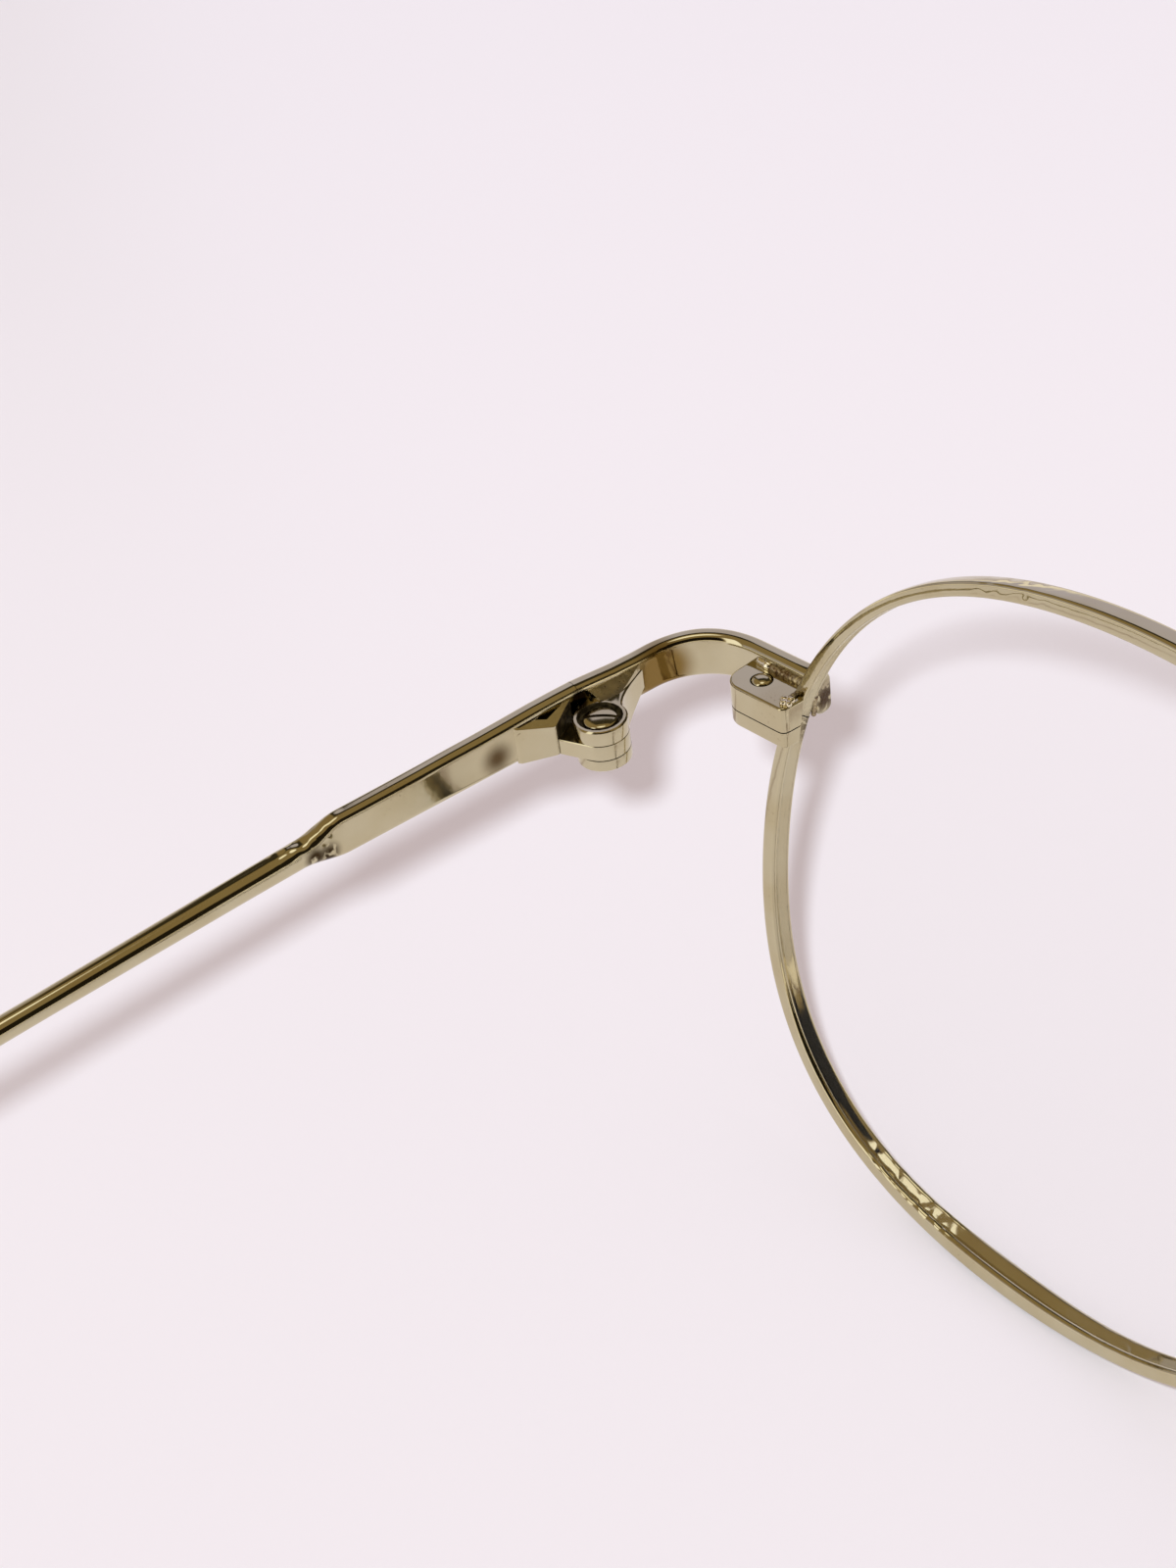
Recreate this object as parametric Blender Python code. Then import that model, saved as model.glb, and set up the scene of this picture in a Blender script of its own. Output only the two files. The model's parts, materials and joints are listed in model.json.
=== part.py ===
"""Round metal eyeglasses with three-barrel hinges, screwed closing blocks and adjustable nose pads.

The model stands right side up on its rims and temple tips.  The front faces -Y, the temples point to +Y,
and the wearer's left side is at +X.  Every paired piece is shaped for the left side and mirrored.
"""

import math

import bmesh
import bpy
from mathutils import Matrix, Vector

# Lens
LENS_DIAMETER = 0.0450
LENS_SQUARENESS = 0.00057
LENS_EDGE_THICKNESS = 0.0014
LENS_EDGE_FORWARD = 0.0001
LENS_FRONT_RADIUS = 0.1050
LENS_BEVEL_DEPTH = 0.00045
LENS_BEVEL_WIDTH = 0.00080
LENS_CLEARANCE = 0.00005

# Eyewire, a grooved wire bent into a ring and split where the end piece joins
EYEWIRE_WIDTH = 0.00153
EYEWIRE_DEPTH = 0.00110
EYEWIRE_CROWN = 0.00018
EYEWIRE_LIP_CHAMFER = 0.00010
EYEWIRE_SPLIT_GAP = 0.00010
EYEWIRE_STEPS = 72

# Front as a whole
BRIDGE_SPAN = 0.0210
PANTOSCOPIC_TILT = math.radians(10.6)
FACE_FORM = math.radians(4.4)
SPLIT_ANGLE = math.radians(20.25)

# Bridge bar
BRIDGE_BAR_DEPTH = 0.00160
BRIDGE_BAR_HEIGHT = 0.00190
BRIDGE_FOOT_RISE = 0.0075
BRIDGE_ARCH = 0.0040
BRIDGE_FORWARD_BOW = 0.0010
BRIDGE_STEPS = 16

# End-piece strip, bent from the rim round to the hinge
STRIP_THICKNESS = 0.00095
STRIP_HEIGHT = 0.00267
STRIP_EDGE_RADIUS = 0.00026
STRIP_SIDE_RUN = 0.00568
STRIP_BEND_RADIUS = 0.00544
STRIP_BEND = math.radians(83.7)
STRIP_FRONT_RUN = 0.00525
STRIP_RIM_RUN = 0.00430
STRIP_RIM_SETBACK = 0.00005
BUTT_GAP = 0.00004

# Closing block, two halves drawn together by a screw
BLOCK_START = 0.00015
BLOCK_LENGTH = 0.00525
BLOCK_DEPTH = 0.00280
BLOCK_DROP = 0.00070
BLOCK_UPPER_HEIGHT = 0.00175
BLOCK_LOWER_HEIGHT = 0.00105
BLOCK_PARTING_GAP = 0.00010
BLOCK_END_RADIUS = 0.00130
BLOCK_CORNER_CUT = 0.00055
BLOCK_EDGE_CHAMFER = 0.00007
BLOCK_SCREW_ALONG = 0.00190
BLOCK_SCREW_OUT = 0.00128
BLOCK_SCREW_HEAD_RADIUS = 0.00068
BLOCK_SCREW_SHANK_RADIUS = 0.00045
BLOCK_SCREW_HEAD_HEIGHT = 0.00030

# Hinge
BARREL_RADIUS = 0.00166
BARREL_TOP_HEIGHT = 0.00100
BARREL_MIDDLE_HEIGHT = 0.00110
BARREL_BOTTOM_HEIGHT = 0.00080
BARREL_GAP = 0.00002
BARREL_EDGE_CHAMFER = 0.00010
HINGE_WEB = 0.00046
KNUCKLE_CLEARANCE = 0.00010
HINGE_DROP = 0.00060
FRONT_LEAF_LENGTH = 0.00485
FRONT_LEAF_RISE = math.radians(27.0)
FRONT_LEAF_SETBACK = 0.00070
FRONT_LEAF_FLARE = 0.00090
TEMPLE_LEAF_LENGTH = 0.00478
TEMPLE_LEAF_CORNER = 0.00250
TEMPLE_LEAF_CLEARANCE = 0.00047
TEMPLE_LEAF_REACH = 0.00092
TEMPLE_LEAF_TOP_DROP = 0.00010
TEMPLE_LEAF_TOP_SLOPE = math.radians(26.0)
TEMPLE_LEAF_POCKET_DEPTH = 0.00016
HINGE_SCREW_HEAD_RADIUS = 0.00103
HINGE_SCREW_HEAD_HEIGHT = 0.00030
HINGE_SCREW_SHANK_RADIUS = 0.00058
HINGE_SCREW_SUNK = 0.00010
COUNTERBORE_RADIUS = 0.00140
SCREW_CLEARANCE = 0.00004
SLOT_WIDTH = 0.00026
SLOT_DEPTH = 0.00016
HINGE_SLOT_ANGLE = math.radians(48.0)
BLOCK_SLOT_ANGLE = math.radians(-35.0)
SCREW_SIDES = 20

# Temple
TEMPLE_FLAT_LENGTH = 0.0163
TEMPLE_NECK_LENGTH = 0.0030
TEMPLE_NECK_WIDTH = 0.00152
TEMPLE_NECK_HEIGHT = 0.00160
TEMPLE_WIRE_DIAMETER = 0.00140
TEMPLE_TAPER_LENGTH = 0.0160
TEMPLE_TOE_IN = math.radians(3.8)
TEMPLE_TO_BEND = 0.0880
EAR_BEND_RADIUS = 0.0180
EAR_BEND = math.radians(45.0)
EAR_BEND_STEPS = 7

# Temple tip, a moulded sleeve over the end of the wire
TIP_COVER = 0.0140
TIP_FRONT_WIDTH = 0.00220
TIP_FRONT_HEIGHT = 0.00230
TIP_END_WIDTH = 0.00300
TIP_END_HEIGHT = 0.00460
TIP_BORE_CLEARANCE = 0.00006
TIP_SOLID_END = 0.0100

# Nose pads on bent arms
PAD_LENGTH = 0.0130
PAD_WIDTH = 0.0072
PAD_THICKNESS = 0.0026
PAD_PLACE = Vector((-0.0237, 0.0072, -0.0080))
PAD_SPLAY = math.radians(28.0)
PAD_LEAN = math.radians(10.0)
PAD_STANDOFF = 0.00100
PAD_ARM_DIAMETER = 0.00095
PAD_ARM_ANGLE = math.radians(195.0)
PAD_ARM_STEPS = 16
PAD_BOX_WIDTH = 0.0026
PAD_BOX_LENGTH = 0.0022
PAD_BOX_BACK = 0.00100
PAD_BOX_FRONT = 0.00072
PAD_BOX_WALL = 0.00048
PAD_BOX_WEB = 0.00038
PAD_STEM_LENGTH = 0.0014
PAD_STEM_BACK = 0.00038
PAD_STEM_CLEARANCE = 0.00005
PAD_SCREW_RADIUS = 0.00036
PAD_SCREW_HEAD_RADIUS = 0.00060
PAD_SCREW_HEAD_HEIGHT = 0.00022

# Brazed faces lie this far apart
BRAZE_GAP = 0.00003

# Derived sizes
RIM_INNER_RADIUS = LENS_DIAMETER / 2 + LENS_CLEARANCE - LENS_BEVEL_DEPTH
RIM_OUTER_RADIUS = RIM_INNER_RADIUS + EYEWIRE_DEPTH
RIM_MEAN_RADIUS = (RIM_INNER_RADIUS + RIM_OUTER_RADIUS) / 2
RIM_CENTRE_X = (LENS_DIAMETER + BRIDGE_SPAN) / 2 - LENS_SQUARENESS
HINGE_SETOFF = BARREL_RADIUS + HINGE_WEB
BARREL_STACK = BARREL_TOP_HEIGHT + BARREL_MIDDLE_HEIGHT + BARREL_BOTTOM_HEIGHT + 2 * BARREL_GAP
STRIP_TOP = HINGE_DROP
STRIP_BOTTOM = STRIP_TOP - STRIP_HEIGHT
STRIP_MIDDLE = (STRIP_TOP + STRIP_BOTTOM) / 2
BLOCK_TOP = STRIP_TOP - BLOCK_DROP
BLOCK_PARTING = BLOCK_TOP - BLOCK_UPPER_HEIGHT
BLOCK_BOTTOM = BLOCK_PARTING - BLOCK_LOWER_HEIGHT

MIRROR = Matrix.Scale(-1, 4, Vector((1, 0, 0)))


def clear_scene():
    """Removes every object that the new scene holds."""
    for old in list(bpy.data.objects):
        bpy.data.objects.remove(old)


def make_material(name, colour, metallic, roughness, transmission=0.0):
    """A plain Principled material."""
    material = bpy.data.materials.new(name)
    material.use_nodes = True
    shader = material.node_tree.nodes["Principled BSDF"]
    shader.inputs["Base Color"].default_value = (*colour, 1.0)
    shader.inputs["Metallic"].default_value = metallic
    shader.inputs["Roughness"].default_value = roughness
    shader.inputs["Transmission Weight"].default_value = transmission
    return material


# Shapes

def face_out(mesh):
    """Turns a closed mesh's faces outwards."""
    bmesh.ops.recalc_face_normals(mesh, faces=mesh.faces)
    if mesh.calc_volume(signed=True) < 0:
        bmesh.ops.reverse_faces(mesh, faces=mesh.faces)
    return mesh


def loft(rings):
    """A closed solid through rings of points, capped at both ends."""
    mesh = bmesh.new()
    rows = [[mesh.verts.new(point) for point in ring] for ring in rings]
    count = len(rows[0])
    for row, following in zip(rows, rows[1:]):
        for i in range(count):
            j = (i + 1) % count
            mesh.faces.new((row[i], row[j], following[j], following[i]))
    mesh.faces.new(reversed(rows[0]))
    mesh.faces.new(rows[-1])
    return face_out(mesh)


def prism(outline, bottom, top, chamfer=0.0):
    """An upright solid over a plan outline, with its top and bottom edges chamfered."""
    mesh = loft([[Vector((x, y, z)) for x, y in outline] for z in (bottom, top)])
    if chamfer:
        rims = [e for e in mesh.edges if abs(e.verts[0].co.z - e.verts[1].co.z) < (top - bottom) / 2]
        bmesh.ops.bevel(mesh, geom=rims, offset=chamfer, segments=1, affect="EDGES")
    return mesh


def turned(profile, sides):
    """A solid of revolution about Z, from (radius, height) points that start and end on the axis."""
    mesh = bmesh.new()
    rows = []
    for radius, height in profile:
        if radius == 0:
            rows.append([mesh.verts.new((0, 0, height))])
            continue
        ring = [2 * math.pi * i / sides for i in range(sides)]
        rows.append([mesh.verts.new((radius * math.cos(a), radius * math.sin(a), height)) for a in ring])
    for row, following in zip(rows, rows[1:]):
        for i in range(sides):
            j = (i + 1) % sides
            if len(row) == 1:
                mesh.faces.new((row[0], following[j], following[i]))
            elif len(following) == 1:
                mesh.faces.new((row[i], row[j], following[0]))
            else:
                mesh.faces.new((row[i], row[j], following[j], following[i]))
    return face_out(mesh)


def cuboid(low, high):
    """A box between two corners."""
    outline = ((low[0], low[1]), (high[0], low[1]), (high[0], high[1]), (low[0], high[1]))
    return prism(outline, low[2], high[2])


def rounded_section(width, height, radius):
    """Sixteen points round a rectangle with round corners, or round a circle when the radius is half of both."""
    points = []
    for quarter, (sx, sy) in enumerate(((1, 1), (-1, 1), (-1, -1), (1, -1))):
        for step in range(4):
            angle = math.radians(90 * quarter + 11.25 + 22.5 * step)
            across = sx * (width / 2 - radius) + radius * math.cos(angle)
            up = sy * (height / 2 - radius) + radius * math.sin(angle)
            points.append((across, up))
    return points


def circle_section(diameter, sides=8):
    """Points round a wire."""
    turns = [2 * math.pi * (i + 0.5) / sides for i in range(sides)]
    return [(diameter / 2 * math.cos(a), diameter / 2 * math.sin(a)) for a in turns]


def rings_along(path, sections, up):
    """Places each section square to the path, its second axis as near to up as it can be."""
    rings = []
    for i, (point, section) in enumerate(zip(path, sections)):
        before = path[max(i - 1, 0)]
        after = path[min(i + 1, len(path) - 1)]
        tangent = (after - before).normalized()
        across = tangent.cross(up).normalized()
        rise = across.cross(tangent)
        rings.append([point + across * a + rise * b for a, b in section])
    return rings


def smooth_path(points, steps):
    """Points along a smooth curve through the given ones, whose end runs stay straight."""
    ends = [points[0] * 2 - points[1]] + list(points) + [points[-1] * 2 - points[-2]]
    spans = len(points) - 1
    path = []
    for k in range(steps + 1):
        place = k * spans / steps
        i = min(int(place), spans - 1)
        t = place - i
        a, b, c, d = ends[i:i + 4]
        path.append(0.5 * (2 * b + (c - a) * t + (2 * a - 5 * b + 4 * c - d) * t ** 2
                           + (3 * b - a - 3 * c + d) * t ** 3))
    return path


def as_object(mesh, name="tool"):
    """Links a mesh to the scene as an object."""
    data = bpy.data.meshes.new(name)
    mesh.to_mesh(data)
    mesh.free()
    thing = bpy.data.objects.new(name, data)
    bpy.context.scene.collection.objects.link(thing)
    return thing


def combine(body, tools, operation):
    """Cuts tools from a body or joins them to it, and returns the new mesh."""
    target = as_object(body)
    helpers = [as_object(tool) for tool in tools]
    for helper in helpers:
        step = target.modifiers.new(operation, "BOOLEAN")
        step.operation = operation
        step.solver = "EXACT"
        step.object = helper
    bpy.context.view_layer.update()
    evaluated = target.evaluated_get(bpy.context.evaluated_depsgraph_get())
    result = bmesh.new()
    result.from_mesh(evaluated.to_mesh())
    evaluated.to_mesh_clear()
    for thing in [target, *helpers]:
        bpy.data.objects.remove(thing)
    bmesh.ops.remove_doubles(result, verts=result.verts, dist=1e-7)
    bmesh.ops.dissolve_degenerate(result, edges=result.edges, dist=1e-7)
    return face_out(result)


def moved(mesh, matrix):
    """Moves a mesh, and turns its faces round again where the matrix mirrors it."""
    mesh.transform(matrix)
    if matrix.determinant() < 0:
        bmesh.ops.reverse_faces(mesh, faces=mesh.faces)
    return mesh


# Places

def rim_frame():
    """The left rim's frame: X outboard, Y towards the wearer, Z up in the plane of the lens."""
    turn = Matrix.Rotation(FACE_FORM, 4, "Z") @ Matrix.Rotation(PANTOSCOPIC_TILT, 4, "X")
    return Matrix.Translation((RIM_CENTRE_X, 0, 0)) @ turn


def outline_growth(angle):
    """How far the lens's softly squared outline lies outside its mean circle."""
    return -LENS_SQUARENESS * math.cos(4 * angle)


def on_outline(radius, angle):
    """A point in the lens's plane, a mean radius away from its centre."""
    reach = radius + outline_growth(angle)
    return Vector((reach * math.cos(angle), 0, reach * math.sin(angle)))


def take_outline(mesh, radius):
    """Gives a round mesh of this radius in the rim's frame the lens's outline."""
    for vertex in mesh.verts:
        growth = 1 + outline_growth(math.atan2(vertex.co.z, vertex.co.x)) / radius
        vertex.co.x *= growth
        vertex.co.z *= growth
    return mesh


def strip_plan(inset):
    """The strip's plan in the hinge frame at a depth inside its outer face: arc centre, radius and run."""
    centre = Vector((HINGE_SETOFF + STRIP_THICKNESS - STRIP_BEND_RADIUS, -STRIP_SIDE_RUN, 0))
    return centre, STRIP_BEND_RADIUS - inset


def front_run_frame():
    """Frame on the strip's inner face where its bend ends: X along the run to the rim, Y to the rear."""
    centre, radius = strip_plan(STRIP_THICKNESS)
    start = centre + radius * Vector((math.cos(STRIP_BEND), -math.sin(STRIP_BEND), 0))
    along = Vector((-math.sin(STRIP_BEND), -math.cos(STRIP_BEND), 0))
    rear = Vector((-math.cos(STRIP_BEND), math.sin(STRIP_BEND), 0))
    frame = Matrix((along, rear, Vector((0, 0, 1)))).transposed().to_4x4()
    return Matrix.Translation(start) @ frame


def hinge_frame():
    """The left hinge's frame, on the top of its barrels, found from where the rim is split."""
    split_point = rim_frame() @ on_outline(RIM_MEAN_RADIUS, SPLIT_ANGLE)
    seat = front_run_frame() @ Vector((STRIP_RIM_RUN, EYEWIRE_WIDTH / 2 + STRIP_RIM_SETBACK, BLOCK_PARTING))
    return Matrix.Translation(split_point - seat)


def rim_in_hinge():
    """The rim's frame as seen from the hinge's."""
    return hinge_frame().inverted() @ rim_frame()


# Eyewire, lens and bridge

def eyewire_mesh():
    """A grooved wire swept round the lens from one side of the split to the other."""
    half = EYEWIRE_WIDTH / 2
    lip = EYEWIRE_LIP_CHAMFER
    groove = LENS_BEVEL_WIDTH / 2 + LENS_CLEARANCE
    inner = RIM_INNER_RADIUS
    outer = RIM_OUTER_RADIUS
    section = (
        (inner, -half + lip), (inner + lip, -half), (outer - EYEWIRE_CROWN, -half),
        (outer, -half * 0.45), (outer, half * 0.45),
        (outer - EYEWIRE_CROWN, half), (inner + lip, half), (inner, half - lip),
        (inner, groove), (inner + LENS_BEVEL_DEPTH + LENS_CLEARANCE, 0), (inner, -groove),
    )
    start = SPLIT_ANGLE + EYEWIRE_SPLIT_GAP / 2 / RIM_MEAN_RADIUS
    sweep = 2 * math.pi - EYEWIRE_SPLIT_GAP / RIM_MEAN_RADIUS
    rings = []
    for step in range(EYEWIRE_STEPS + 1):
        angle = start + sweep * step / EYEWIRE_STEPS
        rings.append([on_outline(r, angle) + Vector((0, y, 0)) for r, y in section])
    return loft(rings)


def lens_mesh():
    """A meniscus with a bevelled edge that sits in the eyewire's groove."""
    front = -LENS_EDGE_THICKNESS / 2 - LENS_EDGE_FORWARD
    rear = front + LENS_EDGE_THICKNESS
    edge = RIM_INNER_RADIUS - LENS_CLEARANCE
    tip = LENS_DIAMETER / 2
    half = LENS_BEVEL_WIDTH / 2

    def bulge(radius):
        return (edge ** 2 - radius ** 2) / (2 * LENS_FRONT_RADIUS)

    stations = [edge * share for share in (0, 0.45, 0.8)]
    profile = [(radius, front - bulge(radius)) for radius in stations]
    profile += [(edge, front), (edge, -half), (tip, 0), (edge, half), (edge, rear)]
    profile += [(radius, rear - bulge(radius)) for radius in reversed(stations)]
    mesh = turned(profile, EYEWIRE_STEPS)
    turn = Matrix.Rotation(-SPLIT_ANGLE, 4, "Y") @ Matrix.Rotation(math.radians(-90), 4, "X")
    return take_outline(moved(mesh, turn), edge)


def rim_cutter(front, rear):
    """A disc as wide as the rim, between two depths from its middle, for seating pieces against it."""
    radius = RIM_OUTER_RADIUS + BRAZE_GAP
    mesh = turned([(0, front), (radius, front), (radius, rear), (0, rear)], EYEWIRE_STEPS * 2)
    return take_outline(moved(mesh, Matrix.Rotation(math.radians(-90), 4, "X")), radius)


def bridge_mesh():
    """An arched bar from rim to rim, its feet cut to the rims' round."""
    foot_angle = math.pi - math.asin(BRIDGE_FOOT_RISE / RIM_OUTER_RADIUS)
    foot = rim_frame() @ on_outline(RIM_MEAN_RADIUS, foot_angle)
    path = []
    for step in range(BRIDGE_STEPS + 1):
        share = 1 - 2 * step / BRIDGE_STEPS
        crest = math.cos(share * math.pi / 2)
        place = Vector((foot.x * share, foot.y - BRIDGE_FORWARD_BOW * crest, foot.z + BRIDGE_ARCH * crest))
        path.append(place)
    section = rounded_section(BRIDGE_BAR_HEIGHT, BRIDGE_BAR_DEPTH, BRIDGE_BAR_DEPTH * 0.4)
    bar = loft(rings_along(path, [section] * len(path), Vector((0, 1, 0))))
    reach = 2 * EYEWIRE_WIDTH
    left = moved(rim_cutter(-reach, reach), rim_frame())
    right = moved(rim_cutter(-reach, reach), MIRROR @ rim_frame())
    return combine(bar, [left, right], "DIFFERENCE")


# End piece and closing block, in the hinge frame

def strip_mesh():
    """The strip from the butt joint forwards, round its bend and across the front of the rim."""
    centre, radius = strip_plan(STRIP_THICKNESS / 2)
    path = [Vector((centre.x + radius, -BUTT_GAP / 2, STRIP_MIDDLE))]
    path.append(Vector((centre.x + radius, -STRIP_SIDE_RUN * 0.5, STRIP_MIDDLE)))
    steps = 12
    for step in range(steps + 1):
        angle = STRIP_BEND * step / steps
        corner = centre + radius * Vector((math.cos(angle), -math.sin(angle), 0))
        path.append(Vector((corner.x, corner.y, STRIP_MIDDLE)))
    along = Vector((-math.sin(STRIP_BEND), -math.cos(STRIP_BEND), 0))
    path.append(path[-1] + along * (STRIP_FRONT_RUN - STRIP_EDGE_RADIUS))
    path.append(path[-1] + along * STRIP_EDGE_RADIUS)
    section = rounded_section(STRIP_THICKNESS, STRIP_HEIGHT, STRIP_EDGE_RADIUS)
    tip = rounded_section(STRIP_THICKNESS * 0.8, STRIP_HEIGHT - 2 * STRIP_EDGE_RADIUS, STRIP_EDGE_RADIUS)
    bar = loft(rings_along(path, [section] * (len(path) - 1) + [tip], Vector((0, 0, 1))))
    seat = rim_cutter(-EYEWIRE_WIDTH / 2 - BRAZE_GAP, 2 * EYEWIRE_WIDTH)
    return combine(bar, [moved(seat, rim_in_hinge())], "DIFFERENCE")


def block_outline():
    """Plan of the block in the front run's frame, one end round and the rear corner cut."""
    middle = BLOCK_DEPTH - BLOCK_END_RADIUS
    outline = [(BLOCK_START, BRAZE_GAP)]
    for step in range(7):
        angle = math.pi - math.pi / 2 * step / 6
        along = BLOCK_START + BLOCK_END_RADIUS * (1 + math.cos(angle))
        outline.append((along, middle + BLOCK_END_RADIUS * math.sin(angle)))
    outline.append((BLOCK_LENGTH - BLOCK_CORNER_CUT, BLOCK_DEPTH))
    outline.append((BLOCK_LENGTH, BLOCK_DEPTH - BLOCK_CORNER_CUT))
    outline.append((BLOCK_LENGTH, BRAZE_GAP))
    return outline


def block_half_mesh(bottom, top, hole_profile):
    """One half of the closing block, cut round the rim and bored for the screw."""
    block = prism(block_outline(), bottom, top, BLOCK_EDGE_CHAMFER)
    bore = moved(turned(hole_profile, SCREW_SIDES), Matrix.Translation((BLOCK_SCREW_ALONG, BLOCK_SCREW_OUT, 0)))
    rim = rim_cutter(-2 * EYEWIRE_WIDTH, EYEWIRE_WIDTH / 2 + BRAZE_GAP)
    block = combine(moved(block, front_run_frame()), [moved(bore, front_run_frame())], "DIFFERENCE")
    return combine(block, [moved(rim, rim_in_hinge())], "DIFFERENCE")


def block_upper_mesh():
    """The upper half, counterbored for the screw's head."""
    floor = BLOCK_TOP - BLOCK_SCREW_HEAD_HEIGHT - SCREW_CLEARANCE
    wide = BLOCK_SCREW_HEAD_RADIUS + 3 * SCREW_CLEARANCE
    narrow = BLOCK_SCREW_SHANK_RADIUS + SCREW_CLEARANCE
    low = BLOCK_BOTTOM - BLOCK_LOWER_HEIGHT
    high = BLOCK_TOP + BLOCK_UPPER_HEIGHT
    hole = [(0, low), (narrow, low), (narrow, floor), (wide, floor), (wide, high), (0, high)]
    return block_half_mesh(BLOCK_PARTING + BLOCK_PARTING_GAP / 2, BLOCK_TOP, hole)


def block_lower_mesh():
    """The lower half, bored through for the screw's thread."""
    narrow = BLOCK_SCREW_SHANK_RADIUS + SCREW_CLEARANCE
    low = BLOCK_BOTTOM - BLOCK_LOWER_HEIGHT
    high = BLOCK_TOP + BLOCK_UPPER_HEIGHT
    hole = [(0, low), (narrow, low), (narrow, high), (0, high)]
    return block_half_mesh(BLOCK_BOTTOM, BLOCK_PARTING - BLOCK_PARTING_GAP / 2, hole)


def slotted_screw(head_radius, head_height, shank_radius, head_top, shank_end, slot_angle):
    """A screw with a slightly domed and slotted head, standing on Z."""
    dome = head_height * 0.35
    under = head_top - head_height
    profile = [(0, shank_end), (shank_radius * 0.8, shank_end), (shank_radius, shank_end + shank_radius * 0.3),
               (shank_radius, under), (head_radius, under), (head_radius, head_top - dome),
               (head_radius * 0.72, head_top - dome * 0.25), (0, head_top)]
    body = turned(profile, SCREW_SIDES)
    slot = cuboid((-2 * head_radius, -SLOT_WIDTH / 2, head_top - SLOT_DEPTH),
                  (2 * head_radius, SLOT_WIDTH / 2, head_top + head_height))
    return combine(body, [moved(slot, Matrix.Rotation(slot_angle, 4, "Z"))], "DIFFERENCE")


def block_screw_mesh():
    """The screw that draws the two halves together."""
    screw = slotted_screw(BLOCK_SCREW_HEAD_RADIUS, BLOCK_SCREW_HEAD_HEIGHT, BLOCK_SCREW_SHANK_RADIUS,
                          BLOCK_TOP, BLOCK_BOTTOM + SCREW_CLEARANCE, BLOCK_SLOT_ANGLE)
    return moved(screw, front_run_frame() @ Matrix.Translation((BLOCK_SCREW_ALONG, BLOCK_SCREW_OUT, 0)))


# Hinge, in its own frame: the axis is Z and the top of the barrels is at zero

def barrel_arc(start, end, steps):
    """Points on the barrels' round from one angle to another, in degrees."""
    turns = [math.radians(start + (end - start) * i / steps) for i in range(steps + 1)]
    return [(BARREL_RADIUS * math.cos(a), BARREL_RADIUS * math.sin(a)) for a in turns]


def screw_bore():
    """The hinge screw's hole with its counterbore in the top barrel."""
    floor = -HINGE_SCREW_SUNK - HINGE_SCREW_HEAD_HEIGHT - SCREW_CLEARANCE
    narrow = HINGE_SCREW_SHANK_RADIUS + SCREW_CLEARANCE
    low = -2 * BARREL_STACK
    high = BARREL_STACK
    profile = [(0, low), (narrow, low), (narrow, floor), (COUNTERBORE_RADIUS, floor),
               (COUNTERBORE_RADIUS, high), (0, high)]
    return turned(profile, SCREW_SIDES)


def front_leaf_mesh():
    """The leaf on the end piece: two barrels on a flange that flares and rises to a point on the strip."""
    seat = HINGE_SETOFF - BRAZE_GAP
    tip = Vector((seat, -FRONT_LEAF_LENGTH))
    pull = Vector((FRONT_LEAF_FLARE, -BARREL_RADIUS * 1.3))
    touch = Vector((0.0, -BARREL_RADIUS))
    flare = []
    for step in range(1, 7):
        t = step / 6
        flare.append(tuple(tip * (1 - t) ** 2 + pull * 2 * t * (1 - t) + touch * t ** 2))
    outline = [(seat, -FRONT_LEAF_SETBACK), (seat, -FRONT_LEAF_LENGTH)] + flare
    outline += barrel_arc(-90, -338, 22)[1:]
    leaf = prism(outline, -BARREL_STACK, 0, BARREL_EDGE_CHAMFER)
    reach = BARREL_RADIUS + KNUCKLE_CLEARANCE
    slot_top = -BARREL_TOP_HEIGHT
    slot_bottom = slot_top - BARREL_MIDDLE_HEIGHT - 2 * BARREL_GAP
    slot = turned([(0, slot_bottom), (reach, slot_bottom), (reach, slot_top), (0, slot_top)], 28)
    wedge = cuboid((-FRONT_LEAF_LENGTH, -2 * FRONT_LEAF_LENGTH, -BARREL_STACK), (FRONT_LEAF_LENGTH, 0, 0))
    foot = Matrix.Translation((0, -BARREL_RADIUS, -BARREL_STACK))
    wedge = moved(wedge, foot @ Matrix.Rotation(-FRONT_LEAF_RISE, 4, "X"))
    return combine(leaf, [slot, screw_bore(), wedge], "DIFFERENCE")


def temple_leaf_plan():
    """The temple leaf's block in plan, clear of the barrels: its foot, rear end, rounding and inner corner."""
    seat = HINGE_SETOFF - BRAZE_GAP
    corner = Vector((HINGE_SETOFF - TEMPLE_LEAF_REACH, TEMPLE_LEAF_CORNER))
    clear = BARREL_RADIUS + TEMPLE_LEAF_CLEARANCE
    slope = math.atan2(corner.y, corner.x) - math.acos(clear / corner.length)
    foot = Vector((seat, (clear - seat * math.cos(slope)) / math.sin(slope)))
    rear = Vector((seat, TEMPLE_LEAF_LENGTH))
    rounding = rear + (corner - rear) * 0.12
    return foot, rear, rounding, corner


def leaf_fall(point):
    """How far the temple leaf's sloping top lies below its height at the bar."""
    return (HINGE_SETOFF - point.x) * math.tan(TEMPLE_LEAF_TOP_SLOPE)


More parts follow.
